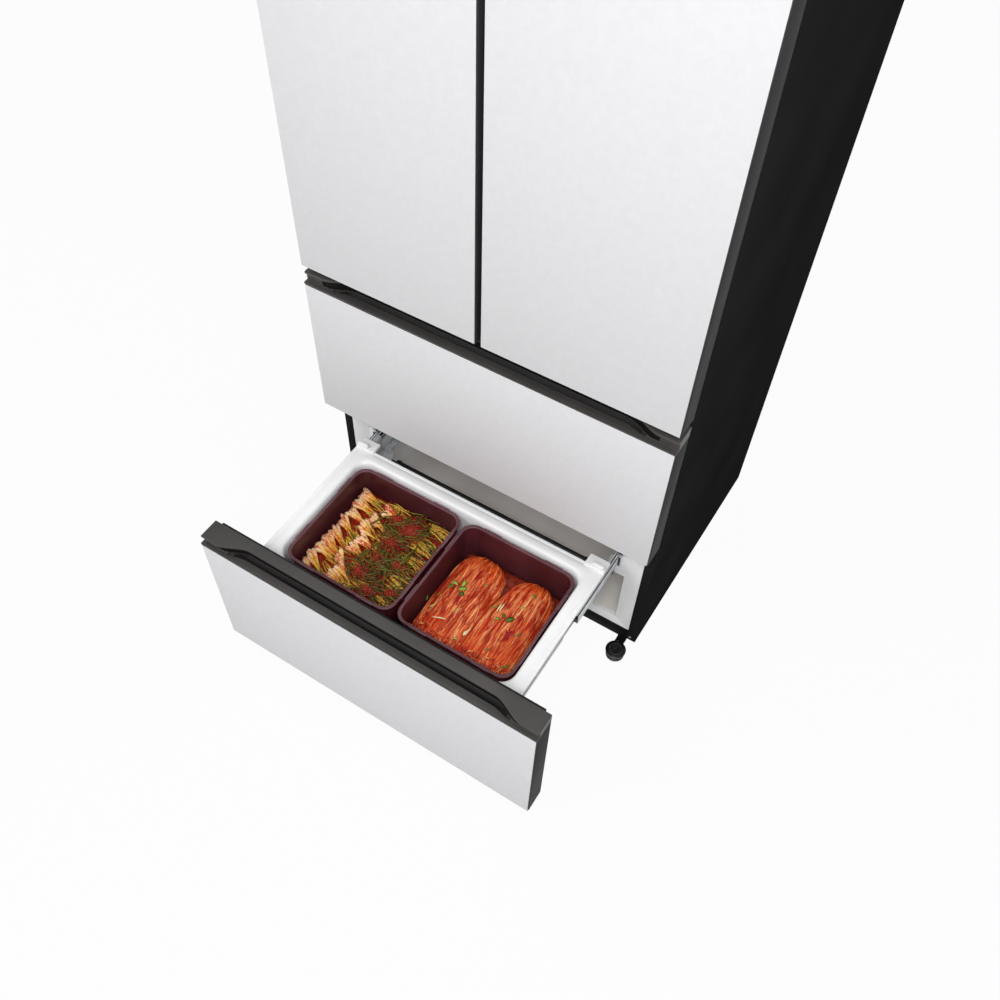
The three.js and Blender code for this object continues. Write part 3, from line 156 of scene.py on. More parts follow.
def ring_points(x0, x1, y0, y1, radius, z):
    """A rectangle with round corners, anticlockwise from above."""
    corners = (
        (x1 - radius, y0 + radius, -90),
        (x1 - radius, y1 - radius, 0),
        (x0 + radius, y1 - radius, 90),
        (x0 + radius, y0 + radius, 180),
    )
    points = []
    for cx, cy, start in corners:
        for i in range(CORNER_STEPS + 1):
            a = math.radians(start + 90 * i / CORNER_STEPS)
            points.append((cx + radius * math.cos(a), cy + radius * math.sin(a), z))
    return points


# Points of a skin that lie nearer than this, in millimetres, are one point.
SAME_POINT = 1e-6


def loft(name, rings, closed=False):
    """A skin over rings of points, with both ends filled or, if closed, joined to each other."""
    count = len(rings[0])
    points = [p for ring in rings for p in ring]
    faces = []
    spans = len(rings) if closed else len(rings) - 1
    for level in range(spans):
        low = level * count
        high = ((level + 1) % len(rings)) * count
        for i in range(count):
            j = (i + 1) % count
            faces.append((low + i, low + j, high + j, high + i))
    if not closed:
        top = (len(rings) - 1) * count
        faces.append(tuple(reversed(range(count))))
        faces.append(tuple(range(top, top + count)))
    obj = mesh_object(name, points, faces)
    outward(obj, SAME_POINT)
    return obj


def plate(name, outline, z0, z1):
    """A flat outline in x and y, raised from z0 to z1."""
    return loft(name, [[(x, y, z0) for x, y in outline], [(x, y, z1) for x, y in outline]])


def slab(name, x0, x1, y0, y1, z0, z1, edge, segments=2):
    """A block between three pairs of planes, its edges rounded."""
    bpy.ops.mesh.primitive_cube_add(
        size=1, location=((x0 + x1) / 2, (y0 + y1) / 2, (z0 + z1) / 2),
        scale=(abs(x1 - x0), abs(y1 - y0), abs(z1 - z0)),
    )
    obj = bpy.context.object
    obj.name = name
    bpy.ops.object.transform_apply(location=True, rotation=True, scale=True)
    bevelled(obj, edge, segments)
    return obj


def rod(place, axis, radius, length, edge, segments, vertices=24):
    """A round bar along x or y with rounded rims."""
    turn = (0, math.pi / 2, 0) if axis == "x" else (math.pi / 2, 0, 0)
    bpy.ops.mesh.primitive_cylinder_add(
        vertices=vertices, radius=radius, depth=length, location=place, rotation=turn,
    )
    bar = bpy.context.object
    bpy.ops.object.transform_apply(location=True, rotation=True, scale=True)
    bevelled(bar, edge, segments)
    return bar


def hoop(place, major, minor, steps, turn=(0, 0, 0)):
    """A round ring, flat on the floor unless it is turned."""
    bpy.ops.mesh.primitive_torus_add(
        major_segments=steps, minor_segments=8, major_radius=major, minor_radius=minor,
        location=place, rotation=turn,
    )
    bpy.ops.object.transform_apply(location=True, rotation=True, scale=True)
    return bpy.context.object


def swept(path, radii, sides, flat):
    """Rings of a stem along a path: a radius at each point, and flat squeezes it in height."""
    rings = []
    path = [Vector(p) for p in path]
    guide = Vector((0, 0, 1))
    for i, point in enumerate(path):
        ahead = path[min(i + 1, len(path) - 1)] - path[max(i - 1, 0)]
        ahead.normalize()
        side = ahead.cross(guide)
        if side.length < 1e-4:
            side = ahead.cross(Vector((1, 0, 0)))
        side.normalize()
        over = side.cross(ahead)
        ring = []
        for k in range(sides):
            a = 2 * math.pi * k / sides
            ring.append(tuple(point + radii[i] * (math.cos(a) * side + flat * math.sin(a) * over)))
        rings.append(ring)
    return rings


class Bunch:
    """Many stems in one mesh, each with its place along the stem (u) and its own number (v)."""

    def __init__(self):
        self.points = []
        self.faces = []
        self.uvs = []

    def add(self, rings, number):
        base = len(self.points)
        count = len(rings[0])
        last = len(rings) - 1
        for level, ring in enumerate(rings):
            for point in ring:
                self.points.append(point)
                self.uvs.append((level / last, number))
        for level in range(last):
            for i in range(count):
                j = (i + 1) % count
                low = base + level * count
                self.faces.append((low + i, low + j, low + count + j, low + count + i))
        self.faces.append(tuple(base + i for i in reversed(range(count))))
        self.faces.append(tuple(base + last * count + i for i in range(count)))

    def build(self, name):
        obj = mesh_object(name, self.points, self.faces)
        layer = obj.data.uv_layers.new(name="stem")
        for loop in obj.data.loops:
            layer.data[loop.index].uv = self.uvs[loop.vertex_index]
        outward(obj)
        pick(obj)
        bpy.ops.object.shade_smooth()
        return obj


def frame_ring(name, x0, x1, z0, z1, profile):
    """A mitred rectangular ring: each profile point is an inset from the outline and a depth y."""
    rings = []
    for inset, y in profile:
        left, right, low, high = x0 + inset, x1 - inset, z0 + inset, z1 - inset
        rings.append([(left, y, low), (right, y, low), (right, y, high), (left, y, high)])
    return loft(name, rings, closed=True)


def dressed(node, material, edge, segments=2):
    """A copy of a CAD node with its flat faces merged and its edges rounded."""
    source = frame["nodes"][node]
    copy = source.copy()
    copy.data = source.data.copy()
    copy.parent = None
    for key in list(copy.keys()):
        del copy[key]
    copy.name = node + "_shape"
    bpy.context.scene.collection.objects.link(copy)
    pick(copy)
    bpy.ops.object.mode_set(mode="EDIT")
    bpy.ops.mesh.select_all(action="SELECT")
    bpy.ops.mesh.remove_doubles(threshold=1e-5)
    bpy.ops.mesh.dissolve_limited(angle_limit=math.radians(0.5))
    bpy.ops.object.mode_set(mode="OBJECT")
    bevelled(copy, edge * MM, segments)
    copy.data.materials.clear()
    copy.data.materials.append(material)
    bodies = frame["record"]["behaviour"]["bodies"]
    body = next(name for name, members in bodies.items() if node in members)
    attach(copy, body)
    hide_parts(node)
    return copy


# ------------------------------------------------------------------ material helpers

def linear(value):
    """An sRGB hex colour as the linear RGBA that the shader wants."""
    channels = [int(value[i:i + 2], 16) / 255 for i in (1, 3, 5)]
    light = [c / 12.92 if c <= 0.04045 else ((c + 0.055) / 1.055) ** 2.4 for c in channels]
    return (*light, 1.0)


def new_material(name):
    """An empty node material."""
    material = bpy.data.materials.new(name)
    material.use_nodes = True
    material.node_tree.nodes.clear()
    return material


def add(material, kind, links=None, stops=(), **settings):
    """Adds a node. links: an input to a value or an output. stops: places and colours of a ramp."""
    node = material.node_tree.nodes.new(kind)
    for key, value in settings.items():
        setattr(node, key, value)
    for key, value in (links or {}).items():
        if isinstance(value, bpy.types.NodeSocket):
            material.node_tree.links.new(value, node.inputs[key])
        else:
            node.inputs[key].default_value = value
    if stops:
        elements = node.color_ramp.elements
        while len(elements) < len(stops):
            elements.new(0.5)
        for element, (place, colour) in zip(elements, stops):
            element.position = place
            grey = not isinstance(colour, str)
            element.color = (colour, colour, colour, 1) if grey else linear(colour)
    return node


def finish_with(material, shader):
    add(material, "ShaderNodeOutputMaterial", {"Surface": shader.outputs[0]})
    return material


def object_place(material, scale_mm):
    """Object coordinates in units of so many millimetres, one for all or one each along x, y, z."""
    sizes = scale_mm if isinstance(scale_mm, tuple) else (scale_mm,) * 3
    place = add(material, "ShaderNodeTexCoord")
    stretch = add(material, "ShaderNodeMapping", {
        "Vector": place.outputs["Object"],
        "Scale": tuple(1 / (size * MM) for size in sizes),
    })
    return stretch.outputs["Vector"]


def stem_place(material):
    """The place along a stem as X, and the stem's own number as Y, from its map."""
    along = add(material, "ShaderNodeUVMap", uv_map="stem")
    split = add(material, "ShaderNodeSeparateXYZ", {"Vector": along.outputs["UV"]})
    return split.outputs["X"], split.outputs["Y"]


# ------------------------------------------------------------------ plastics and metals

def moulded(name, dark, light, roughness, grain_mm, depth_mm, mottle_mm, specular=0.5):
    """Moulded plastic or a coated sheet: a faint large mottle, a fine grain, and uneven gloss.

    The real grain is a few tenths of a millimetre; it is drawn coarser so that it shows.
    """
    material = new_material(name)
    mottle = add(material, "ShaderNodeTexNoise", {
        "Vector": object_place(material, mottle_mm), "Scale": 1.0, "Detail": 3.0,
    })
    grain = add(material, "ShaderNodeTexNoise", {
        "Vector": object_place(material, grain_mm), "Scale": 1.0, "Detail": 4.0, "Roughness": 0.6,
    })
    colour = add(material, "ShaderNodeValToRGB", {
        "Fac": mottle.outputs["Fac"],
    }, stops=((0.3, dark), (0.7, light)))
    gloss = add(material, "ShaderNodeMapRange", {
        "Value": grain.outputs["Fac"],
        "To Min": roughness - GLOSS_SPREAD, "To Max": roughness + GLOSS_SPREAD,
    })
    bump = add(material, "ShaderNodeBump", {
        "Height": grain.outputs["Fac"], "Distance": depth_mm * MM, "Strength": 0.6,
    })
    shader = add(material, "ShaderNodeBsdfPrincipled", {
        "Base Color": colour.outputs["Color"],
        "Roughness": gloss.outputs["Result"],
        "Normal": bump.outputs["Normal"],
        "Specular IOR Level": specular,
    })
    return finish_with(material, shader)


def plaster_panel():
    """Painted steel panel with a trowelled, plaster-like skin: matt, with soft shallow swirls."""
    material = new_material("plaster_grain_panel")
    swirl = add(material, "ShaderNodeTexNoise", {
        "Vector": object_place(material, 16), "Scale": 1.0, "Detail": 5.0, "Distortion": 0.8,
    })
    grit = add(material, "ShaderNodeTexNoise", {
        "Vector": object_place(material, 2.2), "Scale": 1.0, "Detail": 3.0,
    })
    trowel = add(material, "ShaderNodeTexVoronoi", {
        "Vector": object_place(material, (9, 9, 6)), "Scale": 1.0,
    }, feature="SMOOTH_F1")
    colour = add(material, "ShaderNodeValToRGB", {
        "Fac": swirl.outputs["Fac"],
    }, stops=((0.25, "#d7d7d9"), (0.75, "#dcdcde")))
    height = add(material, "ShaderNodeMath", {
        0: swirl.outputs["Fac"], 1: 1.4,
    }, operation="MULTIPLY")
    gritty = add(material, "ShaderNodeMath", {
        0: grit.outputs["Fac"], 1: 0.35, 2: height.outputs[0],
    }, operation="MULTIPLY_ADD")
    relief = add(material, "ShaderNodeMath", {
        0: trowel.outputs["Distance"], 1: 0.35, 2: gritty.outputs[0],
    }, operation="MULTIPLY_ADD")
    bump = add(material, "ShaderNodeBump", {
        "Height": relief.outputs[0], "Distance": 0.22 * MM, "Strength": 0.3,
    })
    shader = add(material, "ShaderNodeBsdfPrincipled", {
        "Base Color": colour.outputs["Color"],
        "Roughness": 0.62,
        "Normal": bump.outputs["Normal"],
        "Specular IOR Level": 0.35,
    })
    return finish_with(material, shader)


def brushed_plate():
    """Coated metal floor plate: satin, with faint streaks across and a soft cloudy tone, painted
    lighter than its own colour as painted light in the shaded chamber.
    """
    material = new_material("brushed_floor_metal")
    streak = add(material, "ShaderNodeTexNoise", {
        "Vector": object_place(material, (1.5, 90, 90)), "Scale": 1.0, "Detail": 3.0,
    })
    cloud = add(material, "ShaderNodeTexNoise", {
        "Vector": object_place(material, 140), "Scale": 1.0, "Detail": 2.0,
    })
    both = add(material, "ShaderNodeMath", {
        0: streak.outputs["Fac"], 1: 0.35, 2: cloud.outputs["Fac"],
    }, operation="MULTIPLY_ADD")
    # Painted light: these tones are lighter than the plate's own colour.
    colour = add(material, "ShaderNodeValToRGB", {
        "Fac": both.outputs[0],
    }, stops=((0.35, "#d2ccc6"), (0.9, "#e6e1dc")))
    gloss = add(material, "ShaderNodeMapRange", {
        "Value": streak.outputs["Fac"], "To Min": 0.38, "To Max": 0.55,
    })
    bump = add(material, "ShaderNodeBump", {
        "Height": streak.outputs["Fac"], "Distance": 0.05 * MM, "Strength": 0.3,
    })
    shader = add(material, "ShaderNodeBsdfPrincipled", {
        "Base Color": colour.outputs["Color"],
        "Roughness": gloss.outputs["Result"],
        "Metallic": 0.15,
        "Normal": bump.outputs["Normal"],
    })
    return finish_with(material, shader)


def plated_steel(name, dark, light, roughness, metallic=0.85):
    """Rolled, zinc-plated steel: bright, drawn along its length, with slightly dull patches."""
    material = new_material(name)
    drawn = add(material, "ShaderNodeTexNoise", {
        "Vector": object_place(material, (1.2, 60, 1.2)), "Scale": 1.0, "Detail": 3.0,
    })
    patch = add(material, "ShaderNodeTexNoise", {
        "Vector": object_place(material, 22), "Scale": 1.0, "Detail": 3.0,
    })
    mixed = add(material, "ShaderNodeMath", {
        0: drawn.outputs["Fac"], 1: 0.5, 2: patch.outputs["Fac"],
    }, operation="MULTIPLY_ADD")
    colour = add(material, "ShaderNodeValToRGB", {
        "Fac": mixed.outputs[0],
    }, stops=((0.45, dark), (0.95, light)))
    gloss = add(material, "ShaderNodeMapRange", {
        "Value": patch.outputs["Fac"], "To Min": roughness - 0.08, "To Max": roughness + 0.12,
    })
    bump = add(material, "ShaderNodeBump", {
        "Height": drawn.outputs["Fac"], "Distance": 0.03 * MM, "Strength": 0.4,
    })
    shader = add(material, "ShaderNodeBsdfPrincipled", {
        "Base Color": colour.outputs["Color"],
        "Roughness": gloss.outputs["Result"],
        "Metallic": metallic,
        "Normal": bump.outputs["Normal"],
    })
    return finish_with(material, shader)


def ball_race_steel():
    """Plated rail steel with dark strips along its length where the ball races run."""
    material = plated_steel("zinc_plated_rail", "#b0b5b8", "#e2e4e6", 0.4, 0.4)
    shader = next(node for node in material.node_tree.nodes if node.type == "BSDF_PRINCIPLED")
    plain = shader.inputs["Base Color"].links[0].from_socket
    place = add(material, "ShaderNodeTexCoord")
    split = add(material, "ShaderNodeSeparateXYZ", {"Vector": place.outputs["Object"]})
    across = add(material, "ShaderNodeMath", {0: split.outputs["X"]}, operation="ABSOLUTE")
    grooves = [
        add(material, "ShaderNodeMath", {
            0: across.outputs[0], 1: middle * MM, 2: half * MM,
        }, operation="COMPARE").outputs[0]
        for middle, half in RACE_GROOVES
    ]
    groove = add(material, "ShaderNodeMath", {0: grooves[0], 1: grooves[1]}, operation="MAXIMUM")
    dark = add(material, "ShaderNodeMix", {
        "Factor": groove.outputs[0], "A": plain, "B": linear("#17191b"),
    }, data_type="RGBA")
    material.node_tree.links.new(dark.outputs["Result"], shader.inputs["Base Color"])
    return material


def container_plastic(name, dark, light, glow_colour, glow_share):
    """Translucent burgundy polypropylene: dark where thick, warmer where light comes through."""
    material = new_material(name)
    cloud = add(material, "ShaderNodeTexNoise", {
        "Vector": object_place(material, 70), "Scale": 1.0, "Detail": 2.0,
    })
    colour = add(material, "ShaderNodeValToRGB", {
        "Fac": cloud.outputs["Fac"],
    }, stops=((0.3, dark), (0.7, light)))
    grain = add(material, "ShaderNodeTexNoise", {
        "Vector": object_place(material, 1.5), "Scale": 1.0, "Detail": 2.0,
    })
    bump = add(material, "ShaderNodeBump", {
        "Height": grain.outputs["Fac"], "Distance": 0.02 * MM, "Strength": 0.3,
    })
    shell = add(material, "ShaderNodeBsdfPrincipled", {
        "Base Color": colour.outputs["Color"],
        "Roughness": 0.3,
        "Normal": bump.outputs["Normal"],
        "IOR": 1.49,
    })
    glow = add(material, "ShaderNodeBsdfTranslucent", {"Color": linear(glow_colour)})
    mixed = add(material, "ShaderNodeMixShader", {
        0: glow_share, 1: shell.outputs[0], 2: glow.outputs[0],
    })
    return finish_with(material, mixed)


def tempered_glass():
    """Clear shelf glass: a faint green, with a polish that varies a little."""
    material = new_material("tempered_shelf_glass")
    haze = add(material, "ShaderNodeTexNoise", {
        "Vector": object_place(material, 50), "Scale": 1.0,
    })
    gloss = add(material, "ShaderNodeMapRange", {
        "Value": haze.outputs["Fac"], "To Min": 0.02, "To Max": 0.08,
    })
    shader = add(material, "ShaderNodeBsdfPrincipled", {
        "Base Color": linear("#dfeeea"),
        "Roughness": gloss.outputs["Result"],
        "Transmission Weight": 0.9,
        "IOR": 1.52,
    })
    return finish_with(material, shader)


# ------------------------------------------------------------------ food finishes

def onion_skin():
    """Salted spring-onion bulbs: white and cream at the root, yellow-green up the stem, sauced."""
    material = new_material("spring_onion_bulb")
    along, number = stem_place(material)
    ripple = add(material, "ShaderNodeTexNoise", {
        "Vector": object_place(material, 9), "Scale": 1.0, "Detail": 4.0,
    })
    shifted = add(material, "ShaderNodeMath", {
        0: ripple.outputs["Fac"], 1: 0.3, 2: along,
    }, operation="MULTIPLY_ADD")
    flesh = add(material, "ShaderNodeValToRGB", {"Fac": shifted.outputs[0]}, stops=(
        (0.08, "#f2b488"), (0.28, "#fadcb4"), (0.46, "#f4c684"),
        (0.66, "#e0ac3c"), (0.9, "#9c921e"), (1.0, "#5d6614"),
    ))
    spots = add(material, "ShaderNodeTexNoise", {
        "Vector": object_place(material, 7), "Scale": 1.0,
        "Detail": 5.0, "Roughness": 0.7, "Distortion": 1.2,
    })
    per_stem = add(material, "ShaderNodeMath", {
        0: number, 1: 0.16, 2: spots.outputs["Fac"],
    }, operation="MULTIPLY_ADD")
    sauce = add(material, "ShaderNodeValToRGB", {
        "Fac": per_stem.outputs[0],
    }, stops=((0.54, 0.0), (0.64, 0.7), (0.72, 1.0)))
    tinted = add(material, "ShaderNodeMix", {
        "Factor": sauce.outputs["Color"], "A": flesh.outputs["Color"], "B": linear("#c23410"),
    }, data_type="RGBA")
    veins = add(material, "ShaderNodeTexNoise", {
        "Vector": object_place(material, 2), "Scale": 1.0, "Detail": 3.0,
    })
    bump = add(material, "ShaderNodeBump", {
        "Height": veins.outputs["Fac"], "Distance": 0.5 * MM, "Strength": 0.5,
    })
    shader = add(material, "ShaderNodeBsdfPrincipled", {
        "Base Color": tinted.outputs["Result"],
        "Roughness": 0.28,
        "Normal": bump.outputs["Normal"],
        "Subsurface Weight": 0.1,
        "Subsurface Radius": (0.004, 0.002, 0.001),
        "Coat Weight": 0.1,
        "Coat Roughness": 0.15,
        "Specular IOR Level": 0.3,
    })
    return finish_with(material, shader)


def leafy(name, dark, light, sauce_colour, sauce_from):
    """Wilted spring-onion leaf: deep to yellow green, limp and wet, flecked with chilli."""
    material = new_material(name)
    _, number = stem_place(material)
    patch = add(material, "ShaderNodeTexNoise", {
        "Vector": object_place(material, 12), "Scale": 1.0, "Detail": 3.0,
    })
    shade = add(material, "ShaderNodeMath", {
        0: number, 1: 0.5, 2: patch.outputs["Fac"],
    }, operation="MULTIPLY_ADD")
    green = add(material, "ShaderNodeValToRGB", {
        "Fac": shade.outputs[0],
    }, stops=((0.4, dark), (1.0, light)))
    flecks = add(material, "ShaderNodeTexNoise", {
        "Vector": object_place(material, 4), "Scale": 1.0, "Detail": 4.0, "Roughness": 0.7,
    })
    sauce = add(material, "ShaderNodeValToRGB", {
        "Fac": flecks.outputs["Fac"],
    }, stops=((sauce_from, 0.0), (sauce_from + 0.08, 1.0)))
    tinted = add(material, "ShaderNodeMix", {
        "Factor": sauce.outputs["Color"], "A": green.outputs["Color"], "B": linear(sauce_colour),
    }, data_type="RGBA")
    bump = add(material, "ShaderNodeBump", {
        "Height": flecks.outputs["Fac"], "Distance": 0.6 * MM, "Strength": 0.6,
    })
    shader = add(material, "ShaderNodeBsdfPrincipled", {
        "Base Color": tinted.outputs["Result"],
        "Roughness": 0.3,
        "Normal": bump.outputs["Normal"],
        "Coat Weight": 0.12,
        "Coat Roughness": 0.2,
        "Specular IOR Level": 0.3,
    })
    return finish_with(material, shader)


def chilli_paste(name, deep, bright, seed_colour, lump_mm):
    """Coarse chilli paste: crushed red flakes, oil and pale seeds, lumpy and wet."""
    material = new_material(name)
    lumps = add(material, "ShaderNodeTexNoise", {
        "Vector": object_place(material, lump_mm), "Scale": 1.0, "Detail": 6.0, "Roughness": 0.65,
    })
    flakes = add(material, "ShaderNodeTexVoronoi", {
        "Vector": object_place(material, lump_mm * 0.6), "Scale": 1.0, "Randomness": 1.0,
    })
    colour = add(material, "ShaderNodeValToRGB", {
        "Fac": lumps.outputs["Fac"],
    }, stops=((0.32, deep), (0.55, bright), (0.75, seed_colour)))
    height = add(material, "ShaderNodeMath", {
        0: flakes.outputs["Distance"], 1: 0.6, 2: lumps.outputs["Fac"],
    }, operation="MULTIPLY_ADD")
    bump = add(material, "ShaderNodeBump", {
        "Height": height.outputs[0], "Distance": 1.5 * MM, "Strength": 0.8,
    })
    shader = add(material, "ShaderNodeBsdfPrincipled", {
        "Base Color": colour.outputs["Color"],
        "Roughness": 0.28,
        "Normal": bump.outputs["Normal"],
        "Coat Weight": 0.15,
        "Coat Roughness": 0.15,
        "Specular IOR Level": 0.3,
    })
    return finish_with(material, shader)


def cabbage_leaf():
    """Fermented cabbage: dark red in the folds, partly sauce and partly painted shade; pale orange
    to cream on the ridges, partly flesh and partly painted highlight; chilli all over.
    """
    material = new_material("kimchi_cabbage_leaf")
    fold, _ = stem_place(material)
    ribs = add(material, "ShaderNodeTexNoise", {
        "Vector": object_place(material, (2.8, 58, 6)), "Scale": 1.0,
        "Detail": 3.0, "Roughness": 0.55, "Distortion": 0.35,
    })
    patch = add(material, "ShaderNodeTexNoise", {
        "Vector": object_place(material, (34, 46, 34)), "Scale": 1.0, "Detail": 3.0,
    })
    own = add(material, "ShaderNodeMath", {
        0: ribs.outputs["Fac"], 1: 0.5, 2: fold,
    }, operation="MULTIPLY_ADD")
    tone = add(material, "ShaderNodeMath", {
        0: patch.outputs["Fac"], 1: 0.5, 2: own.outputs[0],
    }, operation="MULTIPLY_ADD")
    share = add(material, "ShaderNodeMapRange", {
        "Value": tone.outputs[0], "From Min": 0.55, "From Max": 1.5,
    })
    # Painted shade and highlight: the colour runs from dark red in the folds to cream on the
    # ridges, following the fold depth.
    colour = add(material, "ShaderNodeValToRGB", {"Fac": share.outputs["Result"]}, stops=(
        (0.0, "#4e0602"), (0.25, "#901406"), (0.48, "#c63410"),
        (0.68, "#de541e"), (0.86, "#ee8040"), (1.0, "#f8b880"),
    ))
    flakes = add(material, "ShaderNodeTexNoise", {
        "Vector": object_place(material, (3.0, 4.5, 3.0)), "Scale": 1.0,
        "Detail": 3.0, "Roughness": 0.6,
    })
    chilli = add(material, "ShaderNodeValToRGB", {
        "Fac": flakes.outputs["Fac"],
    }, stops=((0.64, 0.0), (0.7, 1.0)))
    flecked = add(material, "ShaderNodeMix", {
        "Factor": chilli.outputs["Color"], "A": colour.outputs["Color"], "B": linear("#a02010"),
    }, data_type="RGBA")
    height = add(material, "ShaderNodeMath", {
        0: flakes.outputs["Fac"], 1: 0.3, 2: ribs.outputs["Fac"],
    }, operation="MULTIPLY_ADD")
    bump = add(material, "ShaderNodeBump", {
        "Height": height.outputs[0], "Distance": 2.0 * MM, "Strength": 0.9,
    })
    shader = add(material, "ShaderNodeBsdfPrincipled", {
        "Base Color": flecked.outputs["Result"],
        "Roughness": 0.3,
        "Normal": bump.outputs["Normal"],
        "Subsurface Weight": 0.06,
        "Subsurface Radius": (0.004, 0.0015, 0.001),
        "Coat Weight": 0.12,
        "Coat Roughness": 0.18,
        "Specular IOR Level": 0.3,
    })
    return finish_with(material, shader)


def sauced_stem(name, pale, mid, dark, sauce_colour, sauce_from, stain_mm=(6, 9, 6)):
    """Thin ribs, sticks and shreds: each its own tone, stained by the sauce in patches."""
    material = new_material(name)
    _, number = stem_place(material)
    tone = add(material, "ShaderNodeValToRGB", {
        "Fac": number,
    }, stops=((0.0, pale), (0.5, mid), (1.0, dark)))
    stain = add(material, "ShaderNodeTexNoise", {
        "Vector": object_place(material, stain_mm), "Scale": 1.0, "Detail": 4.0, "Roughness": 0.6,
    })
    sauce = add(material, "ShaderNodeValToRGB", {
        "Fac": stain.outputs["Fac"],
    }, stops=((sauce_from, 0.0), (sauce_from + 0.12, 1.0)))
    tinted = add(material, "ShaderNodeMix", {
        "Factor": sauce.outputs["Color"], "A": tone.outputs["Color"], "B": linear(sauce_colour),
    }, data_type="RGBA")
    bump = add(material, "ShaderNodeBump", {
        "Height": stain.outputs["Fac"], "Distance": 0.5 * MM, "Strength": 0.5,
    })
    shader = add(material, "ShaderNodeBsdfPrincipled", {
        "Base Color": tinted.outputs["Result"],
        "Roughness": 0.28,
        "Normal": bump.outputs["Normal"],
        "Coat Weight": 0.12,
        "Coat Roughness": 0.15,
        "Specular IOR Level": 0.3,
    })
    return finish_with(material, shader)


# ------------------------------------------------------------------ finishes

# How far the gloss of a moulded surface varies to either side.
GLOSS_SPREAD = 0.08
# Ball grooves of the slides: middle of each from the cabinet's centre line, and half its width.
RACE_GROOVES = ((324.7, 1.2), (330.6, 1.1))

PANEL = plaster_panel()
# moulded: dark and light colour, roughness, grain and its depth in mm, mottle in mm, specular.
# The panel's rounded rim is painted dark grey as the shade line along the panel's edges.
PANEL_EDGE_SHADE = moulded("painted_shade_panel_edge", "#4c4c4d", "#5a5a5b", 0.6, 1.2, 0.02, 60, 0.1)
# Pre-coated sheet steel of the case: dark charcoal with a fine orange peel, nearly matt.
CASE = moulded("charcoal_coated_steel", "#222223", "#282829", 0.6, 1.6, 0.03, 200, 0.0)
# Moulded ABS frames: mid-dark grey with a fine spark-eroded texture.
FRAME = moulded("dark_grey_abs", "#383839", "#3e3e3f", 0.55, 0.8, 0.02, 80, 0.02)
# Grip caps: a warmer, slightly glossier grey that catches the light along its top.
CAP = moulded("warm_grey_abs", "#403e3c", "#4a4745", 0.45, 0.8, 0.02, 120, 0.3)
# The inside of the finger slot: the same plastic, matt, and painted darker as shade in the recess.
CAP_POCKET_SHADE = moulded("painted_shade_slot_abs", "#171514", "#1f1d1c", 0.7, 0.8, 0.02, 80, 0.03)
# Soft extruded gasket: dull black with a blue cast.
GASKET = moulded("black_gasket_pvc", "#15181a", "#1f2326", 0.6, 1.0, 0.03, 30, 0.2)
# Vacuum-formed liners: white, softly glossy, a little wavy.
LINER = moulded("white_abs_liner", "#e6e6e6", "#f0f0f0", 0.35, 3.0, 0.02, 160)
# Injection-moulded bins: the cleanest white on the part, with a soft shine on the rims.
BIN = moulded("white_polypropylene_bin", "#ececec", "#f4f4f4", 0.32, 2.0, 0.015, 120)
# Painted steel of the sill, bars, hinges and compressor: near black, without a highlight.
BLACK_PAINT = moulded("black_coated_steel", "#0f0f0f", "#171717", 0.5, 1.2, 0.03, 60, 0.03)
# Slide ends and shafts: hard self-lubricating plastic, black with a low sheen; the same black
# serves for the sheets painted as shade in the rail ends and slots.
BLACK_PLASTIC = moulded("black_acetal", "#0c0c0d", "#161617", 0.4, 0.8, 0.02, 30)
# Levelling feet: black nylon, and their turned rings painted a brighter grey as a highlight.
FOOT_NYLON = moulded("black_foot_nylon", "#0d0d0e", "#161617", 0.4, 0.9, 0.03, 20, 0.35)
FOOT_RING_HIGHLIGHT = moulded("painted_highlight_foot_nylon", "#333334", "#474748", 0.3, 0.9, 0.02, 20, 0.8)
# Rear rollers: mid-grey nylon, slightly scuffed.
ROLLER = moulded("grey_roller_nylon", "#4d5052", "#5b5e60", 0.5, 1.0, 0.02, 20)
# Foam between case and liners: pale yellow, porous and quite matt.
FOAM = moulded("rigid_polyurethane_foam", "#dccf9c", "#ebdfb4", 0.9, 1.5, 0.3, 30)
STEEL = plated_steel("zinc_plated_steel", "#7d8184", "#c3c7c9", 0.32)
RAIL = ball_race_steel()
# Galvanised back, base and condenser: greyer and duller than the bright plating.
GALVANISED = plated_steel("galvanised_sheet", "#8b8f91", "#a3a7a9", 0.45)
FLOOR_METAL = brushed_plate()
BURGUNDY = container_plastic("burgundy_polypropylene", "#4d2127", "#613037", "#b5484e", 0.3)
# The thin rolled rim is paler: partly thinner plastic that lets less colour through, partly a
# painted highlight along the rim.
BURGUNDY_RIM = container_plastic("burgundy_thin_rim_and_highlight", "#66434a", "#7c5860", "#96646c", 0.15)
GLASS = tempered_glass()
ONION = onion_skin()
LEAF = leafy("spring_onion_leaf", "#1e2606", "#5c6216", "#84240c", 0.52)
STEM = leafy("pale_onion_stem", "#82701a", "#cdb440", "#b4380f", 0.5)
# Chilli paste under the onions, loose flakes on them, and the sauce under the cabbage.
RED_PASTE = chilli_paste("red_chilli_paste", "#5e1008", "#a82a14", "#d8623e", 5)
KNOT_PASTE = chilli_paste("coarse_chilli_flakes", "#7c1406", "#a8301a", "#d06040", 4)
CABBAGE_BED = chilli_paste("cabbage_sauce", "#54120a", "#8a2a14", "#b4562e", 6)
CABBAGE = cabbage_leaf()
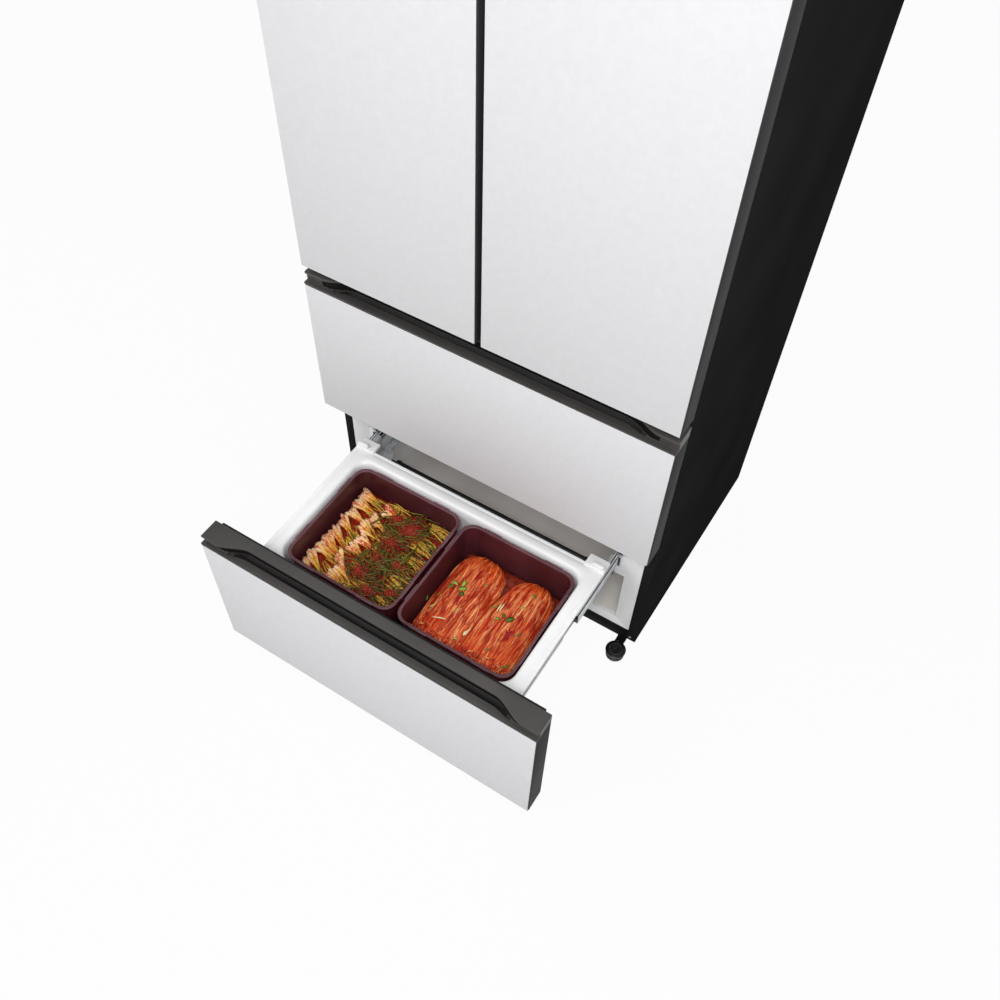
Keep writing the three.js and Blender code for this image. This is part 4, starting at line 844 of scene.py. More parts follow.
# Thin pale ribs of the cabbage leaves, from cream to orange, stained red where sauce clings; their
# pale cream is partly painted highlight along the ridges.
CABBAGE_RIB = sauced_stem(
    "kimchi_leaf_rib", "#f8bc82", "#e87c42", "#cc4620", "#a8200e", 0.45, (11, 46, 11),
)
PARSLEY_LEAF = sauced_stem("parsley_leaf", "#a4b64a", "#7e9c38", "#4c6420", "#8a3a18", 0.68)
CHILLI = sauced_stem("crimson_chilli_strip", "#c4182c", "#b01226", "#8c0e1c", "#d04030", 0.7)
PALE_STEM = sauced_stem("pale_onion_stick", "#f6dcae", "#dcd690", "#b4bc60", "#d86a38", 0.62)


# ------------------------------------------------------------------ cabinet pieces

# Each cabinet piece with its finish and the radius of its edges.
CABINET_PIECES = (
    ("rear_panel", GALVANISED, 0.2),
    ("machine_cover", GALVANISED, 0.2),
    ("base_pan", GALVANISED, 0.3),
    ("front_sill", BLACK_PAINT, 0.8),
    ("upper_liner", LINER, 0.6),
    ("drawer_liner", LINER, 0.6),
    ("mullion_tee", BLACK_PAINT, 0.5),
    ("lower_crossbar", BLACK_PAINT, 0.5),
    ("lower_floor_plate", FLOOR_METAL, 0.6),
    ("upper_shelf_right", GLASS, 1.5),
    ("upper_shelf_left", GLASS, 1.5),
    ("compressor", BLACK_PAINT, 1.0),
    ("condenser", GALVANISED, 0.3),
    ("condenser_fan", FRAME, 0.4),
    ("top_cover", FRAME, 2.5),
    ("top_hinge_right", BLACK_PAINT, 0.6),
    ("top_hinge_left", BLACK_PAINT, 0.6),
    ("middle_hinge_right", BLACK_PAINT, 0.6),
    ("middle_hinge_left", BLACK_PAINT, 0.6),
    ("foot_right", FOOT_NYLON, 0.5),
    ("foot_left", FOOT_NYLON, 0.5),
    ("roller_right", ROLLER, 1.0),
    ("roller_left", ROLLER, 1.0),
    ("outer_case", CASE, 0.35),
)


def build_cabinet():
    """Every piece of the cabinet; the foam between case and liners keeps its CAD mesh."""
    for node, material, edge in CABINET_PIECES:
        dressed(node, material, edge)
    foam = frame["nodes"]["foam_insulation"]
    foam.data.materials.clear()
    foam.data.materials.append(FOAM)


FRONT_PANELS = (
    "door_panel_right", "door_panel_left", "middle_drawer_panel", "lower_drawer_panel",
)
FRONT_BODIES = (
    "door_body_right", "door_body_left", "middle_drawer_body", "lower_drawer_body",
)
PANEL_RADIUS, BODY_RADIUS = 1.4, 1.0
# A face of a panel whose normal has less than this share toward the front is part of its rim.
FACES_FRONT = 0.93


def build_fronts():
    """The four front panels and the grey frames behind them."""
    for front in FRONT_PANELS:
        panel = dressed(front, PANEL, PANEL_RADIUS, 3)
        # Painted shade: the rim faces of each panel take the dark grey edge colour.
        panel.data.materials.append(PANEL_EDGE_SHADE)
        for face in panel.data.polygons:
            if abs(face.normal.y) < FACES_FRONT:
                face.material_index = 1
    for body in FRONT_BODIES:
        dressed(body, FRAME, BODY_RADIUS)


# ------------------------------------------------------------------ gaskets

# Half width of a drawer's gasket, and how far it stands in from the front's lower and upper edge.
GASKET_HALF, GASKET_INSET = 402, 4
# A door's gasket: inner and outer x, bottom and top.
DOOR_GASKET = (12.0, 395.0, 845.2, 1816.25)
# The section: how far in from the outline, and y. Three soft ribs on either side of a flat
# magnet strip.
GASKET_PROFILE = (
    (0.3, 55.3), (0.0, 57.5), (0.8, 58.4), (0.2, 59.4), (1.2, 60.6), (2.6, 61.6),
    (4.0, 60.9), (5.0, 61.5), (9.0, 61.5), (10.0, 60.9),
    (11.4, 61.6), (12.8, 60.6), (13.8, 59.4), (13.2, 58.4), (14.0, 57.5), (13.7, 55.3),
)


def build_gaskets():
    for drawer, front in (("middle_drawer", MIDDLE), ("lower_drawer", LOWER)):
        low, high = front["bottom"] + GASKET_INSET, front["cap_top"] - GASKET_INSET
        build_gasket(f"{drawer}_gasket", drawer, front["out"], -GASKET_HALF, GASKET_HALF, low, high)
    inner, outer, low, high = DOOR_GASKET
    for side, sign in SIDES:
        x0, x1 = sorted((sign * inner, sign * outer))
        build_gasket(f"door_gasket_{side}", f"{side}_door", 0, x0, x1, low, high)


def build_gasket(node, body, out, x0, x1, z0, z1):
    ring = frame_ring(node + "_shape", x0, x1, z0, z1, GASKET_PROFILE)
    smoothed(ring, 50)
    settled(ring, body, GASKET, out, [node])


# ------------------------------------------------------------------ grip caps

# The cap's front edge steps back along the middle, where a hand goes in: x at which the step
# begins and ends, for the lip and for the ledge under it, and half the width of the finger slot.
STEP_INNER, STEP_OUTER, LEDGE_OUTER = 303, 378, 357
SLOT_HALF = 352
EDGE_STEPS = 28
LIP_THICK = 5.9
BASE_THICK = 4.0


def ease(t):
    """A smooth step from 0 to 1."""
    t = min(max(t, 0.0), 1.0)
    return t * t * (3 - 2 * t)


def lip_front(x):
    """Front edge of the cap's lip: 6 at the ends and 31 over the finger slot."""
    return 6 + 25 * ease((STEP_OUTER - abs(x)) / (STEP_OUTER - STEP_INNER))


def neck_front(x):
    """The neck under the lip stands a little behind it."""
    return max(12, lip_front(x) + 2.5)


def ledge_back(x):
    """Back edge of the ledge in front of the finger slot: 9 at the ends, 18 in the middle."""
    return 9 + 9 * ease((LEDGE_OUTER - abs(x)) / (LEDGE_OUTER - STEP_INNER))


def along_front(outer, end):
    """Places along the front edge from end to end, close together where the edge steps back."""
    right = [STEP_INNER + (outer - STEP_INNER) * i / EDGE_STEPS for i in range(EDGE_STEPS + 1)]
    right = [x for x in right if x < end - 0.5] + [end]
    return [-x for x in reversed(right)] + right


def build_cap(drawer, front):
    """A drawer's grip cap: lip and neck over a base that leaves the finger slot open."""
    bottom = front["panel_top"] + 0.3
    top = front["cap_top"]
    back = FRAME_BACK
    whole_front = along_front(STEP_OUTER, HALF_WIDTH)
    whole_back = [(HALF_WIDTH, back), (-HALF_WIDTH, back)]
    slot_front = along_front(STEP_OUTER, SLOT_HALF)
    slot_back = [(SLOT_HALF, back), (-SLOT_HALF, back)]
    ledge_edge = [(x, ledge_back(x)) for x in reversed(along_front(LEDGE_OUTER, SLOT_HALF))]

    lip = plate("lip", [(x, lip_front(x)) for x in whole_front] + whole_back, top - LIP_THICK, top)
    bevelled(lip, 1.1, 3, 40)
    neck_edge = [(x, neck_front(x)) for x in whole_front]
    neck = plate("neck", neck_edge + whole_back, bottom + 3, top - 5)
    smoothed(neck)
    base_top = bottom + BASE_THICK
    base_front = slab("base_front", -HALF_WIDTH, HALF_WIDTH, 0.3, 9.2, bottom, base_top, 0.6)
    ledge_front = [(-SLOT_HALF, 8.5), (SLOT_HALF, 8.5)]
    ledge = plate("ledge", ledge_front + ledge_edge, bottom + 0.2, bottom + 3.9)
    bevelled(ledge, 0.5, 2, 40)
    sides = [
        slab("base_side", s * 351.5, s * HALF_WIDTH, 8.6, back, bottom, base_top, 0.5)
        for s in (-1, 1)
    ]
    rear_edge = [(x, neck_front(x)) for x in slot_front]
    rear = plate("rear", rear_edge + slot_back, bottom, base_top)
    smoothed(rear)
    cap = joined(f"{drawer}_grip_cap_shape", [lip, neck, base_front, ledge, *sides, rear])
    settled(cap, drawer, CAP, front["out"], [f"{drawer}_grip_cap"])
    shade_pocket(cap, bottom + 3.5, top - 5.5)


def shade_pocket(cap, low, high):
    """The wall inside the finger slot is painted darker than the top of the cap, as painted shade
    in the recess.
    """
    cap.data.materials.append(CAP_POCKET_SHADE)
    for face in cap.data.polygons:
        x, _, z = face.center
        if face.normal.y < -0.3 and low * MM < z < high * MM and abs(x) < 380 * MM:
            face.material_index = 1


# ------------------------------------------------------------------ bins

# The bin's opening: half width, front and back, and how far its rim reaches past each.
OPENING_HALF, OPENING_FRONT, OPENING_BACK = 296, 92, 408
REACH_SIDE, REACH_FRONT, REACH_BACK = 35, 34, 32
BIN_DEPTH = 247


def bin_ring(reach, z, radius, inward=0.0):
    """A ring between the bin's opening (reach 0) and the edge of its rim (reach 1)."""
    x = OPENING_HALF + REACH_SIDE * reach - inward
    y0 = OPENING_FRONT - REACH_FRONT * reach + inward
    y1 = OPENING_BACK + REACH_BACK * reach - inward
    return ring_points(-x, x, y0, y1, radius, z)


def build_bin(drawer, front):
    """A drawer's white tub with its skirts, and the tabs that hook it on the slides."""
    rim = front["panel_top"] - RIM_DROP
    floor = rim - BIN_DEPTH
    # Reach, level, corner radius and how far inward, from the foot up the outside, over the
    # rolled rim with its shallow groove, and down the inside to the floor.
    outside = (
        (0, floor - 3, 24, 18), (0, floor - 1, 29, 12.5), (0, floor + 6, 32, 10.2),
        (0, rim - 6, 37, -3),
    )
    edge = (
        (0.97, rim - 6, 7), (1, rim - 5.2, 7), (1, rim - 1.2, 7),
        (0.985, rim - 0.3, 7), (0.95, rim, 7.5),
    )
    groove = ((0.8, rim, 9), (0.78, rim - 0.5, 9), (0.75, rim - 0.5, 9.5), (0.73, rim, 10))
    shoulder = (
        (0.42, rim + 0.2, 16), (0.3, rim + 0.5, 20), (0.16, rim + 0.2, 25),
        (0.07, rim - 1.2, 29), (0.01, rim - 4.5, 33), (0, rim - 9, 34, 0.5),
    )
    inside = (
        (0, rim - 120, 32, 6.2), (0, floor + 14, 30, 12.0), (0, floor + 5, 28, 14.0),
        (0, floor + 1, 24, 19), (0, floor, 20, 26),
    )
    tub = loft("tub", [bin_ring(*ring) for ring in outside + edge + groove + shoulder + inside])
    smoothed(tub, 40)
    pieces = [tub]
    for s in (-1, 1):
        pieces.append(slab("skirt", s * 309.1, s * 313.6, 66, 440, rim - 46, rim - 4, 0.8))
        pieces.append(slab("tab", s * 282.2, s * 330.8, 432, 463, rim - 6, rim + 5, 2.2, 3))
        pieces.append(slab("tab_bar", s * 299, s * 327, 433, 443.5, rim + 3, rim + 15, 3.4, 4))
    whole = joined(f"{drawer}_bin_shape", pieces)
    settled(whole, drawer, BIN, front["out"], [f"{drawer}_bin"])


# ------------------------------------------------------------------ feet, slides and shafts

FOOT_X, FOOT_Y = 387, 23
# Raised rings turned on a foot: radius, half thickness and height over the floor.
FOOT_HOOPS = ((15.5, 0.8, 22.8), (24.2, 0.6, 20.8), (21.6, 0.8, 5.5))
SCREW_X, SCREW_Z = 402, 37.6


def build_feet():
    """Raised rings on both levelling feet, and the screw heads at the ends of the sill."""
    for side, sign in SIDES:
        rings = [
            hoop((sign * FOOT_X, FOOT_Y, z), major, minor, 48) for major, minor, z in FOOT_HOOPS
        ]
        # The raised rings are coloured a brighter grey as a painted highlight.
        highlit_rings = joined(f"foot_rings_{side}", rings)
        settled(highlit_rings, f"{side}_foot", FOOT_RING_HIGHLIGHT, 0)
        head = rod((sign * SCREW_X, 62.3, SCREW_Z), "y", 3.6, 1.0, 0.3, 2)
        recess = hoop((sign * SCREW_X, 62.0, SCREW_Z), 2.0, 0.2, 24, (math.pi / 2, 0, 0))
        screw = joined(f"sill_screw_{side}", [head, recess])
        settled(screw, "cabinet", STEEL, 0)


def build_slides(drawer, front):
    """A drawer's telescopic slides with their ends and hooks, and the shaft that joins them."""
    for side, sign in SIDES:
        for part, edge in (("runner", 0.35), ("slide_member", 0.35), ("outer_rail", 0.25)):
            dressed(f"{drawer}_{part}_{side}", RAIL, edge)
        build_slide_end(drawer, front, side, sign)
        build_rail_hook(drawer, front, side, sign)
    dressed(f"{drawer}_sync_shaft", BLACK_PLASTIC, 0.3)
    build_shaft_sleeve(drawer, front)


# The sleeve and its two collars: middle, length, radius and edge radius.
SLEEVE_PARTS = ((0, 528, 7.4, 0.5), (-260, 10, 9.0, 1.2), (260, 10, 9.0, 1.2))


def build_shaft_sleeve(drawer, front):
    """A black sleeve with a collar at each end covers the thin shaft between its two brackets."""
    height = front["panel_top"] - RIM_DROP - SHAFT_DROP
    parts = [
        rod((middle, SHAFT_Y, height), "x", radius, length, edge, 3, 32)
        for middle, length, radius, edge in SLEEVE_PARTS
    ]
    sleeve = joined(f"{drawer}_shaft_sleeve", parts)
    settled(sleeve, f"{drawer}_shaft", BLACK_PLASTIC, front["out"])


def build_slide_end(drawer, front, side, sign):
    """The middle member ends in a dark plastic stop between its flanges, with a round buffer."""
    rim = front["panel_top"] - RIM_DROP
    stop = slab("stop", sign * 321.2, sign * 330.0, 105.4, 117, rim - 53, rim - 26, 1.2, 3)
    buffer = rod((sign * 325.5, 105.8, rim - 39.5), "y", 4.2, 7, 1.0, 3)
    whole = joined(f"{drawer}_slide_end_{side}", [stop, buffer])
    settled(whole, f"{drawer}_{side}_slide", BLACK_PLASTIC, front["out"] / 2)


def build_rail_hook(drawer, front, side, sign):
    """The outer rail hooks into the liner with a turned-up tongue; a thin black sheet in the rail's
    hollow end and another over the tongue's slot are painted shade.
    """
    rim = front["panel_top"] - RIM_DROP
    tongue = slab("tongue", sign * 326.5, sign * 337.5, 66.4, 84, rim - 21.6, rim - 20.2, 0.4)
    lip = slab("lip", sign * 326.5, sign * 337.5, 66.4, 67.8, rim - 21.6, rim - 13, 0.4)
    # Painted shade: a thin black sheet in the hollow end of the rail.
    mouth_shade_name = f"{drawer}_rail_mouth_shade_{side}"
    mouth_shade = slab(mouth_shade_name, sign * 332.8, sign * 337.2, 64.9, 66.2, rim - 55, rim - 24, 0.5)
    settled(mouth_shade, "cabinet", BLACK_PLASTIC, 0)
    hook = joined(f"{drawer}_rail_hook_{side}", [tongue, lip])
    settled(hook, "cabinet", STEEL, 0)
    # Painted shade: a thin black sheet over the slot in the tongue.
    slot_shade_name = f"{drawer}_rail_slot_shade_{side}"
    slot = slab(slot_shade_name, sign * 328.6, sign * 335.6, 68.4, 83, rim - 20.1, rim - 19.2, 0.3)
    settled(slot, "cabinet", BLACK_PLASTIC, 0)


# ------------------------------------------------------------------ containers

def box_ring(inset, z, radius, side):
    """A ring of a container, an inset inside its rim, narrowing downward with the walls' lean."""
    edge = inset + BOX_LEAN * (BOX_TOP - z) / BOX_HEIGHT
    x0, x1 = sorted((side * (BOX_NEAR + edge), side * (BOX_FAR - edge)))
    return ring_points(x0, x1, BOX_FRONT + edge, BOX_BACK - edge, radius, z)


def box_rings(side):
    """Rings of a container: inset, level and corner radius, outside, rolled rim, then inside."""
    bottom = BOX_TOP - BOX_HEIGHT
    outside = ((12, bottom, 24), (5, bottom + 1.5, 29), (4, bottom + 8, 30), (4, BOX_TOP - 5, 30))
    rim = (
        (0.4, BOX_TOP - 4.6, 30), (0, BOX_TOP - 3.6, 30), (0.1, BOX_TOP - 0.8, 30),
        (0.7, BOX_TOP, 29.6), (1.5, BOX_TOP - 0.1, 29), (2.1, BOX_TOP - 1.2, 28.6),
        (3.5, BOX_TOP - 1.2, 28), (4.1, BOX_TOP - 0.1, 27.6), (5.2, BOX_TOP, 27),
        (6.2, BOX_TOP - 1, 27), (BOX_WALL, BOX_TOP - 4, 27),
    )
    inside = ((BOX_WALL, bottom + 20, 26), (8.5, bottom + 6, 25), (14, bottom + 2.6, 22))
    return [box_ring(inset, z, radius, side) for inset, z, radius in outside + rim + inside]


# Lid lugs on the rim: their places from the middle of a wall, and half the length on the front
# and back walls and on the side walls.
LUG_PLACES = (-78, 78)
LUG_HALF, SIDE_LUG_HALF = 22, 24


def build_container(side, node):
    """A food container: a thin tub with a rolled rim and lugs for its lid."""
    tub = loft("tub", box_rings(side))
    smoothed(tub, 45)
    pieces = [tub]
    low, high = BOX_TOP - 4.5, BOX_TOP + 0.8
    depth_middle = (BOX_FRONT + BOX_BACK) / 2
    for place in LUG_PLACES:
        x = side * BOX_MIDDLE + place
        y = depth_middle + place
        for y0, y1 in ((398.2, 401.4), (101.6, 104.8)):
            pieces.append(slab("lug", x - LUG_HALF, x + LUG_HALF, y0, y1, low, high, 0.7))
        for wall in (side * BOX_NEAR, side * BOX_FAR):
            y0, y1 = y - SIDE_LUG_HALF, y + SIDE_LUG_HALF
            pieces.append(slab("lug", wall - 1.6, wall + 1.6, y0, y1, low, high, 0.7))
    whole = joined(node + "_shape", pieces)
    settled(whole, "lower_drawer", BURGUNDY, LOWER["out"], [node])
    # The rim faces take the paler rim colour, partly a painted highlight.
    whole.data.materials.append(BURGUNDY_RIM)
    for face in whole.data.polygons:
        if face.center.z > (BOX_TOP - 5.2) * MM:
            face.material_index = 1


# ------------------------------------------------------------------ food in general

def inner_edge(z):
    """How far the container's inner wall stands in from its rim at a level."""
    return BOX_WALL + BOX_LEAN * (BOX_TOP - z) / BOX_HEIGHT


def in_container(obj, material, nodes=()):
    """Food is drawn where the shut drawer holds it, and rides on the drawer as it rests."""
    return settled(obj, "lower_drawer", material, LOWER["out"], nodes)


BED_CELLS = 56
BED_DEPTH = 60
BED_EDGE_FALL, BED_EDGE_WIDTH = 10, 12


def food_bed(name, side, top, lump_mm, lump_height, shift):
    """A bed of food that touches the walls: flat-topped, its surface raised in lumps."""
    edge = inner_edge(top) + 1.0
    x0, x1 = sorted((side * (BOX_NEAR + edge), side * (BOX_FAR - edge)))
    y0, y1 = BOX_FRONT + edge, BOX_BACK - edge
    points, faces = [], []
    for j in range(BED_CELLS + 1):
        for i in range(BED_CELLS + 1):
            u = x0 + (x1 - x0) * i / BED_CELLS
            v = y0 + (y1 - y0) * j / BED_CELLS
            border = min(u - x0, x1 - u, v - y0, y1 - v)
            lump = noise.noise(Vector((u / lump_mm + shift, v / lump_mm, 0.5)))
            fine = noise.noise(Vector((u / 5, v / 5 + shift, 2.5)))
            fall = BED_EDGE_FALL * (1 - ease(border / BED_EDGE_WIDTH))
            points.append((u, v, top + lump_height * lump + 1.6 * fine - fall))
    row = BED_CELLS + 1
    for j in range(BED_CELLS):
        for i in range(BED_CELLS):
            a = j * row + i
            faces.append((a, a + 1, a + row + 1, a + row))
    along, last = range(BED_CELLS), BED_CELLS * row
    rim = [*along, *(BED_CELLS + row * j for j in along)]
    rim += [*(last + BED_CELLS - i for i in along), *(last - row * j for j in along)]
    close_below(points, faces, rim, top - BED_DEPTH)
    bed = mesh_object(name, points, faces)
    pick(bed)
    bpy.ops.object.shade_smooth()
    return bed


def close_below(points, faces, rim, level):
    """Walls from a sheet's rim, anticlockwise from above, down to a level, and a bottom."""
    base, count = len(points), len(rim)
    points += [(points[i][0], points[i][1], level) for i in rim]
    for i in range(count):
        j = (i + 1) % count
        faces.append((rim[i], base + i, base + j, rim[j]))
    faces.append(tuple(base + i for i in reversed(range(count))))


def strand(rng, start, heading, length, thick, curl, lift, base, steps=14, flat=0.7):
    """A limp leaf or stem that wanders from its start, arched by lift over its base."""
    path, radii = [], []
    x, y = start
    a = heading
    for i in range(steps):
        t = i / (steps - 1)
        path.append((x, y, base + lift * math.sin(math.pi * t) + rng.uniform(-0.4, 0.4)))
        x += length / steps * math.cos(a)
        y += length / steps * math.sin(a)
        a += curl / steps + rng.uniform(-0.09, 0.09)
        radii.append(thick * (0.35 + 0.65 * math.sin(math.pi * (0.12 + 0.8 * t))))
    return swept(path, radii, 7, flat)


def keep_inside(bunch, walls, gap):
    """Presses a bunch inside the walls (left, right, front, back), a gap away from them."""
    left, right, front, back = walls
    bunch.points = [
        (min(max(x, left + gap), right - gap), min(max(y, front + gap), back - gap), z)
        for x, y, z in bunch.points
    ]


# ------------------------------------------------------------------ green-onion kimchi

# How far the bed of onions lies under the container's rim.
ONION_DROP = 66
# Rows of tied bulbs: gap from the left wall, bundles, length, gaps at the front and back walls.
BULB_ROWS = (
    (3, 9, 72, 6, 12),
    (66, 8, 64, 8, 26),
)
# Stems behind the bulbs: start x, middle y, half their spread in y, and how many.
STEM_GROUPS = (
    (-92, 316, 20, 22), (-84, 370, 14, 14), (-88, 258, 18, 18), (-84, 204, 20, 18),
    (-80, 140, 14, 14), (-150, 152, 10, 8), (-196, 372, 12, 8),
)
# Knots of tied leaves: x and y of the middle, radius, and how much chilli lies on them.
KNOTS = (
    (-107, 330, 34, 1.3), (-151, 338, 26, 1.0), (-125, 276, 36, 0.5), (-129, 226, 34, 0.25),
    (-138, 176, 32, 0.6), (-75, 236, 24, 0.4), (-99, 144, 24, 0.8), (-48, 168, 20, 0.7),
)
BULB_STEPS = 12
STEMS_PER_BUNDLE = 5
LEAVES_PER_KNOT, LOOSE_LEAVES = 24, 80
FLAKES_PER_KNOT, LOOSE_FLAKES = 640, 800


def bulb(rng, root, heading, length, thick, lift):
    """A spring-onion bulb: round root end, swollen head, narrowing stem that sinks at its tail."""
    path, radii = [], []
    bend = rng.uniform(-0.16, 0.16)
    for i in range(BULB_STEPS):
        t = i / (BULB_STEPS - 1)
        a = heading + bend * t * t
        x = root[0] + length * t * math.cos(a)
        y = root[1] + length * t * math.sin(a)
        path.append((x, y, root[2] + lift * math.sin(math.pi * min(t * 1.2, 1)) - 10 * t * t))
        if i == 0:
            swell = 0.3
        elif i == BULB_STEPS - 1:
            swell = 0.25
        elif t < 0.24:
            swell = 0.55 + 0.75 * math.sin(math.pi * min(0.5, 0.12 + t * 1.6))
        else:
            swell = 1.22 - 0.75 * ease((t - 0.15) / 0.6)
        radii.append(thick * swell)
    return swept(path, radii, 9, 1.0)


def build_onion_kimchi():
    rng = random.Random(11)
    top = BOX_TOP - ONION_DROP
    wall = inner_edge(top)
    walls = (-BOX_FAR + wall, -BOX_NEAR - wall, BOX_FRONT + wall, BOX_BACK - wall)
    bed = food_bed("onion_bed", -1, top, 30, 3.5, 3.1)
    in_container(bed, RED_PASTE, ["green_onion_kimchi"])

    bulbs, stems = Bunch(), Bunch()
    for row in BULB_ROWS:
        lay_bulbs(rng, bulbs, stems, walls, top, row)
    lay_stems(rng, stems, walls, top)
    keep_inside(bulbs, walls, 1)
    keep_inside(stems, walls, 1)
    in_container(bulbs.build("onion_bulbs"), ONION)
    in_container(stems.build("onion_stems"), STEM)

    leaves = Bunch()
    lay_leaves(rng, leaves, walls, top)
    keep_inside(leaves, walls, 2)
    in_container(leaves.build("onion_leaves"), LEAF)

    flakes = Bunch()
    scatter_flakes(rng, flakes, walls, top)
    keep_inside(flakes, walls, 1)
    in_container(flakes.build("onion_chilli_flakes"), KNOT_PASTE)


def lay_bulbs(rng, bulbs, stems, walls, top, row):
    """A row of bundles, each a fan of bulbs side by side with loose stems at its tail."""
    inset, bundles, length, front_gap, back_gap = row
    left, _, front, back = walls
    y0, y1 = front + front_gap, back - back_gap
    spread = (y1 - y0) / bundles
    second_row = inset > 50
    for b in range(bundles):
        middle = y0 + spread * (b + 0.5)
        lean = math.radians(rng.uniform(-30, -4))
        forward = rng.uniform(0, 9) + (10 * math.sin(b * 2.1) if second_row else 0)
        count = rng.choice((5, 6, 6, 7))
        for k in range(count):
            offset = (k + 0.5) / count - 0.5
            heading = lean - offset * 0.5 + rng.uniform(-0.1, 0.1)
            root = (
                left + inset + forward + rng.uniform(-2, 9),
                middle + offset * spread * 1.08,
                top + 9 + rng.uniform(-1, 8),
            )
            thick = rng.uniform(3.3, 4.9)
            reach = length * rng.uniform(0.8, 1.15)
            bulbs.add(bulb(rng, root, heading, reach, thick, rng.uniform(2, 7)), rng.random())
        for _ in range(STEMS_PER_BUNDLE):
            aside = rng.uniform(-0.45, 0.45) * spread
            start = (left + inset + forward + length * 0.6, middle + aside)
            heading = lean + rng.uniform(-0.4, 0.4)
            thick, curl = rng.uniform(1.3, 2.4), rng.uniform(-0.6, 0.6)
            stems.add(strand(rng, start, heading, 44, thick, curl, 4, top + 6), rng.random())


def lay_stems(rng, stems, walls, top):
    """Groups of pale stems that run from the bulbs toward the right wall."""
    for x, y, half, count in STEM_GROUPS:
        for _ in range(count):
            start = (x + rng.uniform(-8, 8), y + rng.uniform(-half, half))
            reach = min(walls[1] - start[0] - 3, 70) * rng.uniform(0.85, 1.0)
            thick = rng.uniform(1.3, 2.6)
            base = top + 6 + rng.uniform(0, 7)
            heading, curl = rng.uniform(-0.3, 0.12), rng.uniform(-0.2, 0.2)
            stems.add(strand(rng, start, heading, reach, thick, curl, 4, base), rng.random())


def lay_leaves(rng, leaves, walls, top):
    """Leaves wound around the knots, and loose ones strewn between them."""
    for knot_x, knot_y, radius, _ in KNOTS:
        for _ in range(LEAVES_PER_KNOT):
            a = rng.uniform(0, 2 * math.pi)
            r = radius * rng.uniform(0.2, 1.0)
            start = (knot_x + r * math.cos(a) - 10, knot_y + 0.8 * r * math.sin(a))
            heading = rng.choice((a + math.pi / 2, rng.uniform(-0.9, 0.5), rng.uniform(-0.9, 0.5)))
            base = top + 7 + 9 * (1 - (r / radius) ** 2) + rng.uniform(0, 6)
            length, thick = rng.uniform(34, 84), rng.uniform(1.2, 2.7)
            curl, lift = rng.uniform(-1.6, 2.8), rng.uniform(1, 6)
            leaf = strand(rng, start, heading, length, thick, curl, lift, base, 14, 0.6)
            leaves.add(leaf, rng.random())
    _, right, front, back = walls
    for _ in range(LOOSE_LEAVES):
        start = (rng.uniform(right - 170, right - 22), rng.uniform(front + 6, back - 6))
        heading, length = rng.uniform(-0.9, 0.6), rng.uniform(34, 84)
        thick, curl = rng.uniform(1.2, 2.6), rng.uniform(-1.3, 1.3)
        base = top + 7 + rng.uniform(0, 5)
        leaf = strand(rng, start, heading, length, thick, curl, 3, base, 12, 0.6)
        leaves.add(leaf, rng.random())


def scatter_flakes(rng, flakes, walls, top):
    """Crushed chilli: small crumbs heaped on the leaf knots and caught between the bulbs."""
    for knot_x, knot_y, radius, share in KNOTS:
        for _ in range(int(FLAKES_PER_KNOT * share * radius / 30)):
            a = rng.uniform(0, 2 * math.pi)
            r = radius * min(1.5, abs(rng.gauss(0, 0.75)))
            z = top + 9 + 11 * (1 - min(1, r / radius) ** 2) + rng.uniform(0, 8)
            place = (knot_x + r * math.cos(a), knot_y + 0.8 * r * math.sin(a), z)
            flakes.add(crumb(rng, place, rng.uniform(0.8, 1.9)), rng.random())
    left, right, front, back = walls
    for _ in range(LOOSE_FLAKES):
        place = (
            rng.uniform(left + 8, right - 4),
            rng.uniform(front + 4, back - 4),
            top + rng.uniform(5, 14),
        )
        flakes.add(crumb(rng, place, rng.uniform(0.6, 1.5)), rng.random())


def crumb(rng, place, size):
    """An uneven six-sided flake, as four rings: level and share of its size."""
    x, y, z = place
    turn = rng.uniform(0, math.pi)
    stretch = rng.uniform(0.6, 1.5)
    rings = []
    for level, share in ((-0.8, 0.5), (-0.2, 1.0), (0.4, 0.85), (0.9, 0.3)):
        ring = []
        for i in range(6):
            a = turn + i * math.pi / 3
            r = size * share * rng.uniform(0.8, 1.2)
            height = z + 0.6 * size * level
            ring.append((x + stretch * r * math.cos(a), y + r * math.sin(a), height))
        rings.append(ring)
    return rings


# ------------------------------------------------------------------ cabbage kimchi

# Cabbage halves: which side, half width, front y, rear y, and how far its rear end is squeezed in.
HEADS = ((-1, 65.5, 116.0, 382.0, 0.62), (1, 64.0, 116.0, 384.0, 0.8))
HEAD_ROWS, HEAD_COLUMNS = 130, 96
# Share of a head's length that its cut front takes up, and the depth of its folds.
HEAD_FRONT = 0.13
FOLD_DEPTH = 5.2
# How far the top of a head lies under the container's rim, and the bed under that.
CROWN_DROP = 54
BED_UNDER_CROWN = 34
RIB_STEPS = 18
RIBS_PER_HEAD, CUT_SHREDS = 170, 230


def head_height(s, t, side):
    """Height of a half over its base: s across from -1 to 1, t along from 0 front to 1 back."""
    across = max(0.0, 1 - abs(s) ** 2.6)
    if s * side < 0:
        # The two halves lean on each other toward the front and part toward their root ends.
        across = max(across, 0.84 * (1 - ease((t - 0.42) / 0.36)))
    ends = min(1.0, t / 0.05) if t < 0.05 else min(1.0, (1 - t) / 0.16)
    ends = math.sqrt(max(0.0, 1 - (1 - ends) ** 2))
    return across ** 0.5 * ends


def head_width(t, squeeze):
    """How wide a half is along its length: full to the front, drawn together at its root end."""
    tail = max(0.0, (t - 0.66) / 0.34)
    return math.sqrt(max(0.03, 1 - squeeze * tail ** 2.2 - (1 - squeeze) * tail ** 7))


